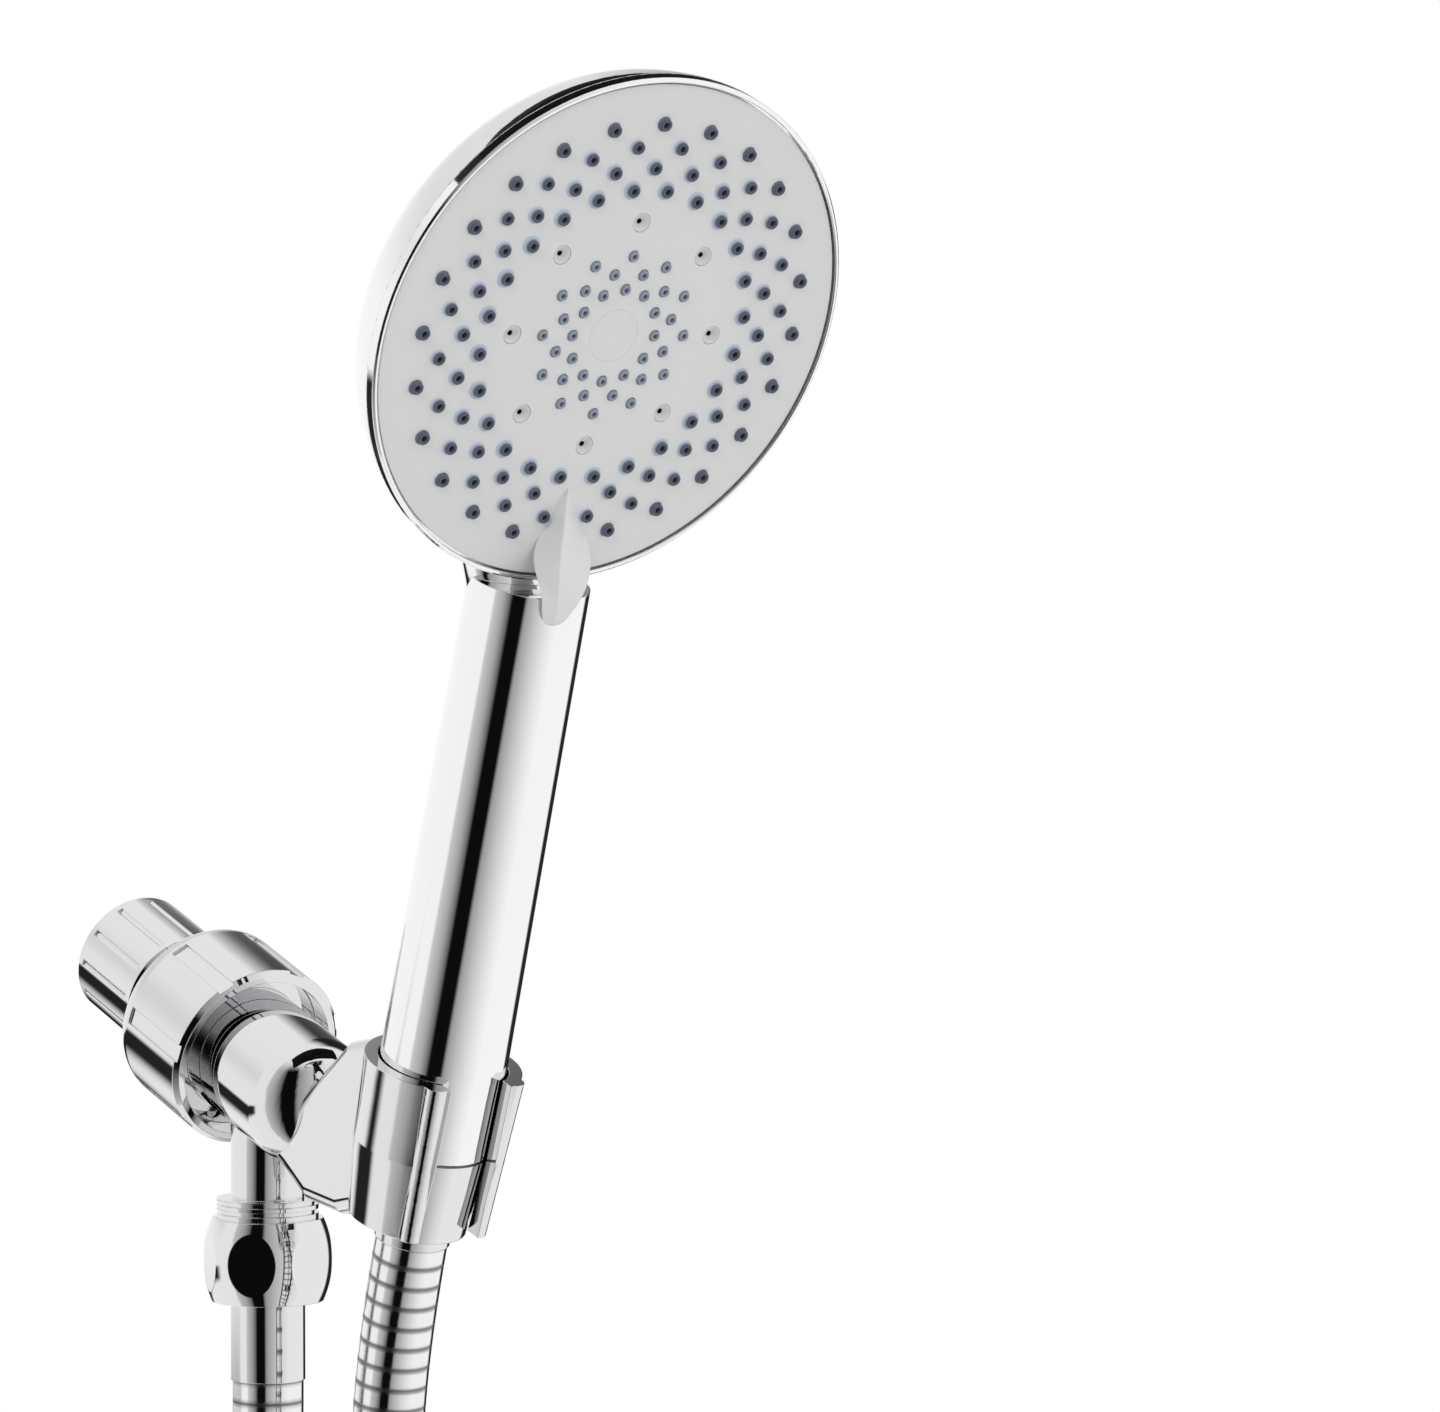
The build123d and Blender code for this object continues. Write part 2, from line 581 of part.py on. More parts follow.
def head_outline(inset):
    """Half section of the head's rounded back, as a closed line in the turning plane."""
    dome = Spline((HEAD_R - inset, -RIM_BACK), (HEAD_R - 1.3 - inset, -0.38 * HEAD_DEPTH),
                  (HEAD_R - 4.2 - inset, -0.62 * HEAD_DEPTH + inset * 0.3),
                  ((HEAD_R - inset) * 0.79, -0.81 * HEAD_DEPTH + inset * 0.8),
                  ((HEAD_R - inset) * 0.46, -0.945 * HEAD_DEPTH + inset),
                  (0, -HEAD_DEPTH + inset), tangents=((-0.15, -1), (-1, 0)))
    return dome


def handset_shell():
    half_plane = Plane(origin=FACE_CENTRE, x_dir=ACROSS, z_dir=ACROSS.cross(FACE_OUT))
    bore = HANDLE_TOP_R - HANDLE_WALL
    with BuildPart() as piece:
        turn([
            (0, HANDLE_END), (HANDLE_END_R, HANDLE_END), (HANDLE_R, 0),
            (HANDLE_TOP_R, HANDLE_STRAIGHT), (0, HANDLE_STRAIGHT),
        ], HANDLE_AXIS)
        loft(neck_sections(0))
        with BuildSketch(half_plane) as outside:
            with BuildLine():
                dome = head_outline(0)
                Polyline(dome @ 1, (0, -RIM_BACK), dome @ 0)
            make_face()
        revolve(outside.sketch, axis=FACE_AXIS)
        ring(HANDLE_AXIS, 0, bore, HANDLE_END + TUBE_NECK_LENGTH,
             HANDLE_STRAIGHT - HANDLE_WALL, mode=Mode.SUBTRACT)
        ring(HANDLE_AXIS, 0, TUBE_NECK_R + TUBE_NECK_CLEAR, HANDLE_END, 0, mode=Mode.SUBTRACT)
        loft(neck_sections(HANDLE_WALL), mode=Mode.SUBTRACT)
        with BuildSketch(half_plane) as inside:
            with BuildLine():
                dome = head_outline(HEAD_WALL)
                Polyline(dome @ 1, (0, -RIM_BACK), dome @ 0)
            make_face()
        revolve(inside.sketch, axis=FACE_AXIS, mode=Mode.SUBTRACT)
        ring(FACE_AXIS, 0, VALVE_R, -VALVE_BACK, 0, mode=Mode.SUBTRACT)
    save(piece, "handset_shell")


def trim_rim():
    inner = FACE_R + COVER_CLEAR
    with BuildPart() as piece:
        turn([
            (inner, -RIM_BACK), (HEAD_R, -RIM_BACK), (HEAD_R, -RIM_FRONT - RIM_EDGE),
            (HEAD_R - RIM_EDGE, -RIM_FRONT), (inner + RIM_EDGE / 2, -RIM_FRONT),
            (inner, -RIM_FRONT - RIM_EDGE / 2),
        ], FACE_AXIS)
    save(piece, "trim_rim")


def face_height(radius):
    """Depth of the domed face's surface at a radius, negative behind the nozzle plane."""
    return -FACE_CENTRE_DEPTH - (FACE_EDGE_DEPTH - FACE_CENTRE_DEPTH) * (radius / FACE_R) ** 2


def ring_places(count, radius, offset=0.0):
    """Evenly spaced (x, y) places on a ring, less the one that the lever covers."""
    angles = [radians(90 + offset + 360 / count * number) for number in range(count)]
    places = [(radius * cos(angle), radius * sin(angle)) for angle in angles]
    return [spot for spot in places if spot[1] > -LEVER_ROOT or abs(spot[0]) > LEVER_TIP_HALF]


def face_plate():
    half_plane = Plane(origin=FACE_CENTRE, x_dir=ACROSS, z_dir=ACROSS.cross(FACE_OUT))
    past = 1.0
    with BuildPart() as piece:
        with BuildSketch(half_plane) as section:
            with BuildLine():
                edge = (FACE_R, face_height(FACE_R))
                half_way = (FACE_R / 2, face_height(FACE_R / 2))
                hole = (CAP_R, face_height(CAP_R))
                ThreePointArc(edge, half_way, hole)
                Polyline(hole, (CAP_R, -FACE_BACK), (FACE_R, -FACE_BACK), edge)
            make_face()
        revolve(section.sketch, axis=FACE_AXIS)
        with BuildSketch(across_axis(FACE_AXIS, -FACE_BACK - past)) as holes:
            for count, radius, offset, nozzle_r, _ in NOZZLE_RINGS:
                with Locations(*ring_places(count, radius, offset)):
                    Circle(nozzle_r + NOZZLE_CLEAR)
            with Locations(*ring_places(MIST_COUNT, MIST_RING)):
                Circle(MIST_R)
            with Locations((0, -PEG_MIDDLE)):
                Rectangle(2 * PEG_HALF, PEG_LENGTH)
        extrude(holes.sketch, amount=FACE_BACK + 2 * past, mode=Mode.SUBTRACT)
    save(piece, "face_plate")


def nozzle_mat():
    with BuildPart() as piece:
        ring(FACE_AXIS, HUB_R, MAT_R, -FACE_BACK - MAT_THICK, -FACE_BACK)
        for count, radius, offset, nozzle_r, tip in NOZZLE_RINGS:
            with BuildSketch(across_axis(FACE_AXIS, -FACE_BACK - MAT_THICK / 2)) as studs:
                with Locations(*ring_places(count, radius, offset)):
                    Circle(nozzle_r)
            extrude(studs.sketch, amount=FACE_BACK + MAT_THICK / 2 + face_height(radius) + tip)
        with BuildSketch(across_axis(FACE_AXIS, -FACE_BACK - MAT_THICK)) as ports:
            with Locations(*ring_places(MIST_COUNT, MIST_RING)):
                Circle(MIST_FLANGE_R)
        extrude(ports.sketch, amount=MAT_THICK, mode=Mode.SUBTRACT)
    save(piece, "nozzle_mat")


def mist_inserts():
    for number, spot in enumerate(ring_places(MIST_COUNT, MIST_RING), start=1):
        with BuildPart() as piece:
            with BuildSketch(across_axis(FACE_AXIS, -FACE_BACK - MAT_THICK)) as flange:
                with Locations(spot):
                    Circle(MIST_FLANGE_R)
            extrude(flange.sketch, amount=MAT_THICK)
            with BuildSketch(across_axis(FACE_AXIS, -FACE_BACK)) as barrel:
                with Locations(spot):
                    Circle(MIST_R)
            extrude(barrel.sketch, amount=FACE_BACK + face_height(MIST_RING) - 0.5)
            with BuildSketch(across_axis(FACE_AXIS, -FACE_BACK - MAT_THICK)) as orifice:
                with Locations(spot):
                    Circle(MIST_R / 4)
            extrude(orifice.sketch, amount=FACE_BACK + MAT_THICK, mode=Mode.SUBTRACT)
        save(piece, f"mist_insert_{number}")


def centre_cap():
    top = face_height(CAP_R)
    with BuildPart() as piece:
        ring(FACE_AXIS, 0, CAP_R, top - CAP_THICK, top)
    save(piece, "centre_cap")


def selector_disc():
    back = -FACE_BACK - MAT_THICK - RUN_CLEAR - DISC_THICK
    with BuildPart() as piece:
        ring(FACE_AXIS, SPINDLE_R + RUN_CLEAR, DISC_R, back, back + DISC_THICK)
        with BuildSketch(across_axis(FACE_AXIS, back)) as ports:
            with PolarLocations(PORT_RING, PORT_COUNT, start_angle=90):
                Circle(SEAL_BORE)
        extrude(ports.sketch, amount=DISC_THICK, mode=Mode.SUBTRACT)
        groove = DETENT_BALL_R + COVER_CLEAR
        ring(FACE_AXIS, DETENT_RING - groove, DETENT_RING + groove, back,
             back + DETENT_SUNK + COVER_CLEAR, mode=Mode.SUBTRACT)
    save(piece, "selector_disc")


def disc_back():
    """Depth of the selector disc's rear face."""
    return -FACE_BACK - MAT_THICK - RUN_CLEAR - DISC_THICK


def snout_ends():
    """Ends of the straight duct from the water tube to the valve body."""
    low = HANDLE_AXIS.position + HANDLE_UP * TUBE_TOP - HANDLE_FRONT * SNOUT_BACK
    plane = across_axis(FACE_AXIS, -VALVE_BACK - SNOUT_R - SNOUT_BACK)
    high = plane.origin - plane.y_dir * SNOUT_DROP
    return low, high


def valve_body():
    low, high = snout_ends()
    duct = Plane(origin=low, x_dir=ACROSS, z_dir=high - low)
    pocket_end = -VALVE_FRONT - POCKET_DEPTH
    spots = [radians(90 + 360 / PORT_COUNT * number) for number in range(PORT_COUNT)]
    seals = [(PORT_RING * cos(angle), PORT_RING * sin(angle)) for angle in spots]
    with BuildPart() as piece:
        ring(FACE_AXIS, 0, VALVE_R, -VALVE_BACK, -VALVE_FRONT)
        ring(FACE_AXIS, 0, SPINDLE_R, -VALVE_FRONT, -FACE_BACK - MAT_THICK)
        with BuildSketch(across_axis(FACE_AXIS, pocket_end - POCKET_WALL)) as bosses:
            with Locations(*seals):
                Circle(SEAL_R + POCKET_CLEAR + POCKET_WALL)
            with Locations((0, -SNOUT_DROP)):
                Circle(SNOUT_R + POCKET_WALL)
        extrude(bosses.sketch, amount=POCKET_DEPTH)
        with BuildSketch(duct) as tube:
            Circle(SNOUT_R)
        extrude(tube.sketch, amount=(high - low).length)
        with BuildSketch(duct) as hollow:
            Circle(SNOUT_BORE)
        extrude(hollow.sketch, amount=(high - low).length, mode=Mode.SUBTRACT)
        with BuildSketch(across_axis(FACE_AXIS, -VALVE_FRONT)) as pockets:
            with Locations(*seals):
                Circle(SEAL_R + POCKET_CLEAR)
        extrude(pockets.sketch, amount=-POCKET_DEPTH, mode=Mode.SUBTRACT)
        with BuildSketch(across_axis(FACE_AXIS, -VALVE_FRONT)) as detent:
            with Locations((0, -DETENT_RING)):
                Circle(DETENT_BALL_R + POCKET_CLEAR)
        extrude(detent.sketch, amount=-(VALVE_BACK - VALVE_FRONT), mode=Mode.SUBTRACT)
        ring(FACE_AXIS, 0, SCREW_R, -FACE_BACK - MAT_THICK - SCREW_LENGTH, 0,
             mode=Mode.SUBTRACT)
    save(piece, "valve_body")


def port_seals():
    top = disc_back() - RUN_CLEAR
    for number in range(PORT_COUNT):
        angle = radians(90 + 360 / PORT_COUNT * number)
        spot = across_axis(FACE_AXIS).from_local_coords(
            Vector(PORT_RING * cos(angle), PORT_RING * sin(angle), 0))
        axis = Axis(spot, FACE_OUT)
        with BuildPart() as piece:
            ring(axis, SEAL_BORE, SEAL_R, -VALVE_FRONT - 1.6, top)
        save(piece, f"port_seal_{number + 1}")
        with BuildPart() as piece:
            ring(axis, SEAL_R - 1.0, SEAL_R - 0.3, -VALVE_FRONT - POCKET_DEPTH,
                 -VALVE_FRONT - 1.6)
        save(piece, f"seal_spring_{number + 1}")


def detent():
    plane = across_axis(FACE_AXIS, disc_back() + DETENT_SUNK - DETENT_BALL_R)
    centre = plane.from_local_coords(Vector(0, -DETENT_RING, 0))
    with BuildPart() as piece:
        with Locations(centre):
            Sphere(DETENT_BALL_R)
    save(piece, "detent_ball")


def centre_screw():
    top = -FACE_BACK - MAT_THICK + WASHER_THICK
    with BuildPart() as piece:
        ring(FACE_AXIS, 0, SCREW_HEAD_R, top, top + SCREW_HEAD_THICK)
        ring(FACE_AXIS, 0, SCREW_R, -FACE_BACK - MAT_THICK - SCREW_LENGTH, top)
    save(piece, "centre_screw")
    with BuildPart() as piece:
        ring(FACE_AXIS, SCREW_R, WASHER_R, top - WASHER_THICK, top)
    save(piece, "screw_washer")


def lever_back():
    """Height of the tongue's underside over the nozzle plane, just clear of the handle."""
    at_reach = HEAD_FORWARD - LEVER_REACH * sin(HEAD_TILT)
    return (HANDLE_TOP_R + COVER_CLEAR - at_reach) / cos(HEAD_TILT)


def mode_lever():
    """Fin that rises to a tongue over the rim, on a peg that goes through the face plate."""
    low = -RIM_FRONT + COVER_CLEAR
    back = lever_back()
    front = back + LEVER_THICK
    side = Plane(origin=FACE_CENTRE, x_dir=across_axis(FACE_AXIS).y_dir * -1, z_dir=ACROSS)
    outer = LEVER_REACH - LEVER_TONGUE
    with BuildPart() as piece:
        with BuildSketch(side) as profile:
            with BuildLine():
                Polyline((LEVER_ROOT, low), (FACE_R - LEVER_THICK, low), (outer + LEVER_THICK, back),
                         (LEVER_REACH, back), (LEVER_REACH, front), (outer, front),
                         (LEVER_ROOT, low + LEVER_ROUND), close=True)
            make_face()
        extrude(profile.sketch, amount=LEVER_HALF, both=True)
        wide = LEVER_ROOT + LEVER_TAPER
        with BuildSketch(across_axis(FACE_AXIS, low)) as plan:
            with BuildLine():
                Polyline((-LEVER_HALF, -LEVER_REACH), (LEVER_HALF, -LEVER_REACH),
                         (LEVER_HALF, -wide), (LEVER_TIP_HALF, -LEVER_ROOT),
                         (-LEVER_TIP_HALF, -LEVER_ROOT), (-LEVER_HALF, -wide), close=True)
            make_face()
        extrude(plan.sketch, amount=front - low, mode=Mode.INTERSECT)
        fillet(piece.edges().filter_by(Axis(FACE_CENTRE, FACE_OUT)), LEVER_ROUND)
        with BuildSketch(across_axis(FACE_AXIS, -FACE_BACK)) as peg:
            with Locations((0, -PEG_MIDDLE)):
                Rectangle(2 * PEG_HALF, PEG_LENGTH)
        extrude(peg.sketch, amount=FACE_BACK + low)
    save(piece, "mode_lever")


# ---- Water way and hose ends --------------------------------------------------------------
def water_tube():
    thread_end = HANDLE_END - TUBE_THREAD_LENGTH
    with BuildPart() as piece:
        turn([
            (TUBE_BORE, thread_end), (PIPE_R - THREAD_CLEAR, thread_end),
            (PIPE_R - THREAD_CLEAR, HANDLE_END), (TUBE_NECK_R, HANDLE_END),
            (TUBE_NECK_R, HANDLE_END + TUBE_NECK_LENGTH),
            (TUBE_R, HANDLE_END + TUBE_NECK_LENGTH), (TUBE_R, TUBE_TOP), (TUBE_BORE, TUBE_TOP),
        ], HANDLE_AXIS)
    save(piece, "water_tube")
    with BuildPart() as piece:
        ring(HANDLE_AXIS, RESTRICTOR_BORE, TUBE_BORE, thread_end, thread_end + RESTRICTOR_THICK)
    save(piece, "flow_restrictor")


def cone_nut():
    thread_end = HANDLE_END - TUBE_THREAD_LENGTH
    top = HANDLE_END - CONE_GAP
    shoulder = thread_end - CONE_WASHER_THICK - TAIL_FLANGE_THICK - SHOULDER_CLEAR
    with BuildPart() as piece:
        turn([
            (PIPE_R, top), (CONE_TOP_R, top), (CONE_END_R, CONE_END),
            (FERRULE_R + RUN_CLEAR, CONE_END), (FERRULE_R + RUN_CLEAR, shoulder),
            (TAIL_FLANGE_R + THREAD_CLEAR, shoulder), (TAIL_FLANGE_R + THREAD_CLEAR, thread_end),
            (PIPE_R, thread_end),
        ], HANDLE_AXIS)
    save(piece, "cone_nut")
    with BuildPart() as piece:
        ring(HANDLE_AXIS, TUBE_BORE, TAIL_FLANGE_R, thread_end - CONE_WASHER_THICK, thread_end)
    save(piece, "cone_washer")
    flange = thread_end - CONE_WASHER_THICK
    with BuildPart() as piece:
        turn([
            (FERRULE_BORE, flange), (TAIL_FLANGE_R, flange),
            (TAIL_FLANGE_R, flange - TAIL_FLANGE_THICK), (FERRULE_R, flange - TAIL_FLANGE_THICK),
            (FERRULE_R, CONE_FERRULE_END), (FERRULE_BORE, CONE_FERRULE_END),
        ], HANDLE_AXIS)
    save(piece, "handset_ferrule")


def hose_nut():
    top = OUTLET_THREAD_TOP - HOSE_NUT_GAP
    bottom = top - HOSE_NUT_HEIGHT
    shoulder = OUTLET_THREAD_END - HOSE_WASHER_THICK - TAIL_FLANGE_THICK - SHOULDER_CLEAR
    half_plane = Plane(origin=OUTLET_AXIS.position, x_dir=ACROSS,
                       z_dir=ACROSS.cross(OUTLET_AXIS.direction))
    with BuildPart() as piece:
        with BuildSketch(half_plane):
            with BuildLine():
                ThreePointArc((HOSE_NUT_END_R, top), (HOSE_NUT_R, (top + bottom) / 2),
                              (HOSE_NUT_END_R, bottom))
                Polyline((HOSE_NUT_END_R, bottom), (FERRULE_R + RUN_CLEAR, bottom),
                         (FERRULE_R + RUN_CLEAR, shoulder), (PIPE_R, shoulder), (PIPE_R, top),
                         (HOSE_NUT_END_R, top))
            make_face()
        revolve(axis=OUTLET_AXIS)
        with BuildSketch(across_axis(OUTLET_AXIS, bottom)) as flats:
            Circle(HOSE_NUT_R + 2)
            RegularPolygon(HOSE_NUT_FLAT, 6, major_radius=False, rotation=12,
                           mode=Mode.SUBTRACT)
        extrude(flats.sketch, amount=HOSE_NUT_HEIGHT, mode=Mode.SUBTRACT)
    save(piece, "hose_nut")
    with BuildPart() as piece:
        ring(OUTLET_AXIS, OUTLET_BORE, TAIL_FLANGE_R, OUTLET_THREAD_END - HOSE_WASHER_THICK,
             OUTLET_THREAD_END)
    save(piece, "hose_washer")
    flange = OUTLET_THREAD_END - HOSE_WASHER_THICK
    with BuildPart() as piece:
        turn([
            (FERRULE_BORE, flange), (TAIL_FLANGE_R, flange),
            (TAIL_FLANGE_R, flange - TAIL_FLANGE_THICK), (FERRULE_R, flange - TAIL_FLANGE_THICK),
            (FERRULE_R, FERRULE_BOTTOM), (FERRULE_BORE, FERRULE_BOTTOM),
        ], OUTLET_AXIS)
    save(piece, "outlet_ferrule")


# ---- Hose ---------------------------------------------------------------------------------
def arc_radii(points):
    """Radius at each inner point: as large as its two runs allow."""
    radii = []
    for before, here, after in zip(points, points[1:], points[2:]):
        half_turn = radians((here - before).get_angle(after - here) / 2)
        shorter = min((here - before).length, (after - here).length)
        radii.append(RUN_SHARE * shorter * cos(half_turn) / sin(half_turn))
    return radii


def hose_tube(points, radii, name):
    """Tube along straight runs and tangent arcs."""
    with BuildPart() as piece:
        with BuildLine() as route:
            FilletPolyline(*points, radius=radii)
        with BuildSketch(Plane(origin=points[0], z_dir=points[1] - points[0])):
            Circle(HOSE_R)
        sweep()
    length = sum(edge.length for edge in route.line.edges())
    share = piece.part.volume / (pi * HOSE_R ** 2 * length)
    print(name, "radii", [round(radius) for radius in radii], "length", round(length, 1),
          "volume share", round(share, 4))
    save(piece, name)


def hose_routes():
    outlet = [place(*spot) for spot in OUTLET_RUN]
    start = HANDLE_AXIS.position + HANDLE_UP * CONE_FERRULE_END
    handset = [start, start - HANDLE_UP * HOSE_LEAD] + [place(*spot) for spot in HANDSET_RUN]
    return outlet, handset


def split_run(points):
    """Free part and coil part of a route, each with its radii, parted in the fourth last run."""
    radii = arc_radii(points)
    middle = (points[-5] + points[-4]) * 0.5
    return (points[:-4] + [middle], radii[:-3]), ([middle] + points[-4:], radii[-3:])


def hose():
    outlet, handset = hose_routes()
    hose_tube(*split_run(outlet)[0], "hose_outlet_run")
    hose_tube(*split_run(handset)[0], "hose_handset_run")
    coil_axis = Axis(place(COIL_FORWARD, COIL_UP), ACROSS)
    side = Plane(origin=coil_axis.position, x_dir=(0, -1, 0), z_dir=(0, 0, 1))
    with BuildPart() as coil:
        with BuildSketch(side):
            with Locations((COIL_R, 0)):
                RectangleRounded(2 * (HOSE_R + COIL_MARGIN),
                                 2 * (COIL_HALF + HOSE_R + COIL_MARGIN), COIL_CORNER)
        revolve(axis=coil_axis)
        for points in (outlet, handset):
            stub, radii = split_run(points)[1]
            with BuildLine():
                FilletPolyline(*stub, radius=radii)
            with BuildSketch(Plane(origin=stub[0], z_dir=stub[1] - stub[0])):
                Circle(HOSE_R)
            sweep()
    save(coil, "hose_coil")
    inner = (HOSE_R + COIL_MARGIN + TIE_GAP, COIL_HALF + HOSE_R + COIL_MARGIN + TIE_GAP)
    with BuildPart() as tie:
        with BuildSketch(Plane(origin=coil_axis.position, x_dir=(0, 0, -1), z_dir=(0, -1, 0))):
            with Locations((COIL_R, 0)):
                RectangleRounded(2 * (inner[0] + TIE_THICK), 2 * (inner[1] + TIE_THICK),
                                 COIL_CORNER + TIE_THICK)
                RectangleRounded(2 * inner[0], 2 * inner[1], COIL_CORNER, mode=Mode.SUBTRACT)
        revolve(axis=coil_axis, revolution_arc=TIE_ANGLE)
    save(tie, "coil_tie")


def main():
    os.makedirs("parts", exist_ok=True)
    for make in (arm_nut, arm_washer, filter_screen, ball_stem, ball_cup, ball_collar, ball_seat,
                 ball_seal_ring, bracket_body, handset_shell, trim_rim, face_plate, nozzle_mat,
                 mist_inserts, centre_cap, selector_disc, valve_body, port_seals, detent,
                 centre_screw, mode_lever, water_tube, cone_nut, hose_nut, hose):
        make()


main()
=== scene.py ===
import json
from math import cos, pi, radians, sin

import bpy
from bpy.props import FloatProperty, FloatVectorProperty, IntProperty, PointerProperty
from mathutils import Matrix, Vector


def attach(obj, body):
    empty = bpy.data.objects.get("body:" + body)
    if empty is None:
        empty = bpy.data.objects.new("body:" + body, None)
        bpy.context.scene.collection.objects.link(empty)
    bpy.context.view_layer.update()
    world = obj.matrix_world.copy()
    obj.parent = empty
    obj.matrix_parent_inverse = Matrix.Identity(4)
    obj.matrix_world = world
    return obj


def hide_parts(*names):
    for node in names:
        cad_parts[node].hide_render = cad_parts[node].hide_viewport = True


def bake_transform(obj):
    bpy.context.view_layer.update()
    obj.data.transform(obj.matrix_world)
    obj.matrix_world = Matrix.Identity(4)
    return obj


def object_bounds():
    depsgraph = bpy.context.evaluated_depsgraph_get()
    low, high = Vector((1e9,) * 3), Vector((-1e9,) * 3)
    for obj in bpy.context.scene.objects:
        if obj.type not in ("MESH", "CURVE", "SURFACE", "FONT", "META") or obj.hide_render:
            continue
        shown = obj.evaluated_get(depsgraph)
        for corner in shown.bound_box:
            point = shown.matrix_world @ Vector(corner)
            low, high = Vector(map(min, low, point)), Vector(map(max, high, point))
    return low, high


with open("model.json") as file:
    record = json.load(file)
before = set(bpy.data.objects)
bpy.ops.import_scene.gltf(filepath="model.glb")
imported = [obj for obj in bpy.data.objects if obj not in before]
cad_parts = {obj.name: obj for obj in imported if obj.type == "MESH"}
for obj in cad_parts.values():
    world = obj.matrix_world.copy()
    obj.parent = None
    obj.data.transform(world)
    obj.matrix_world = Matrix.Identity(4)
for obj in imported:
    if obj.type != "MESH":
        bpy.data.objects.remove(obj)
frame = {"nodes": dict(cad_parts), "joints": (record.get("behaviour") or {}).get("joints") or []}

bl_info = {
    "name": "Handheld shower head looks",
    "version": (1, 0, 0),
    "blender": (4, 5, 0),
    "location": "View3D > Sidebar > Shower",
    "description": "Builds the hose, nozzles, finishes and stage round the packed shower head",
    "category": "Object",
}

MM = 0.001
CAD_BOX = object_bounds()
NODES = frame["nodes"]
JOINTS = {joint["name"]: joint for joint in frame["joints"]}

# ---- Places taken from the joints ---------------------------------------------------------
ACROSS = Vector((1, 0, 0))
FACE_CENTRE = Vector(JOINTS["selector_turn"]["pos_m"])
FACE_OUT = Vector(JOINTS["selector_turn"]["axis"]).normalized()
HANDLE_TOP = Vector(JOINTS["handset_turn"]["pos_m"])
HANDLE_UP = Vector(JOINTS["handset_turn"]["axis"]).normalized()
INLET_OUT = Vector(JOINTS["stem_turn"]["axis"]).normalized()

# ---- Hose route, as (forward, up, across) in millimetres ----------------------------------
OUTLET_RUN = (
    (52.0, -83.0, 0.0), (52.0, -110.0, 0.0), (45.7, -136.0, -3.5), (33.0, -158.5, -9.0),
    (15.8, -175.6, -14.5), (3.9, -196.6, -18.8), (-1.3, -220.0, -21.0), (-1.0, -243.0, -21.0),
)
HANDSET_RUN = (
    (94.9, -108.0, 0.0), (101.6, -134.0, 3.5), (114.0, -156.5, 9.0), (130.6, -174.2, 14.5),
    (141.8, -195.4, 18.8), (146.4, -218.8, 21.0), (146.0, -243.0, 21.0),
)
FERRULE_END = -37.5 * MM        # end of the handset's ferrule, along the handle axis
HOSE_LEAD = 26.0 * MM
COIL_FORWARD = 72.5
COIL_UP = -243.0
COIL_R = 74.1
COIL_HALF = 21.0
COIL_TURNS = 2.5
COIL_STEPS = 14                 # route points in one turn
ROUTE_STEPS = 10                # points of the smooth line between two route points
RIDGE_STEPS = 8                 # rings of faces in one ridge
GROOVE_START = 0.62             # where the groove begins, as a share of half a ridge
GROOVE_FULL = 0.97
CROWN_SHARE = 0.18              # how far a ridge's round crown falls, as a share of the groove

# ---- Strap round the stored hose, in millimetres ------------------------------------------
STRAP_HALF = 24.6               # half width of the loop, across the turns
STRAP_DEEP = 7.8                # half depth of the loop
STRAP_CORNER = 7.6
STRAP_WIDTH = 11.0
STRAP_THICK = 1.3
STRAP_RADIUS = 73.0             # loop's centre, from the coil's centre

# ---- Spray pattern, in millimetres about the face centre ----------------------------------
FACE_R = 50.3
FACE_CENTRE_DEPTH = 0.9
FACE_EDGE_DEPTH = 2.5
FACE_BACK = 4.4
MAT_BACK = 6.0
MAT_R = 47.0
MAT_BORE = 8.0
FIRST_RING = 9.4
LAST_RING = 42.5
LEVER_ROOT = 31.5
OUTER_COLUMNS = 24
INNER_COLUMNS = 12
MIST_COUNT = 8
# share of the way from the first ring to the last, and radius of the pale base round a nozzle
OUTER_RINGS = ((1.0, 0.0), (0.87, 1.55), (0.74, 1.75), (0.61, 1.9))
INNER_SHARES = (0.0, 0.103, 0.205)
MIST_SHARE = 0.408
OUTER_SIDES = 20                # faces round a nozzle, a mist dish and the mat
INNER_SIDES = 16
DISH_SIDES = 28
MAT_SIDES = 96
INNER_HEIGHT = 0.6              # inner nozzle's height, as a share of an outer one's
INNER_PALE = 0.45               # how pale an inner nozzle is
MAT_GAP = 0.02                  # clearance under the face plate
DISH_PROUD = 0.01


# ---- Sizes and colours that a user may change ---------------------------------------------
class HoseSizes(bpy.types.PropertyGroup):
    diameter: FloatProperty(name="Diameter", description="Outer diameter of the hose",
                            default=14.5 * MM, unit="LENGTH")
    pitch: FloatProperty(name="Pitch", description="Distance from one ridge to the next",
                         default=4.4 * MM, unit="LENGTH")
    groove: FloatProperty(name="Groove", description="Depth of the groove between ridges",
                          default=1.2 * MM, unit="LENGTH")
    length: FloatProperty(name="Length", description="Length of the hose between its ferrules",
                          default=1.51, unit="LENGTH")
    sides: IntProperty(name="Sides", description="Faces round the hose", default=30)


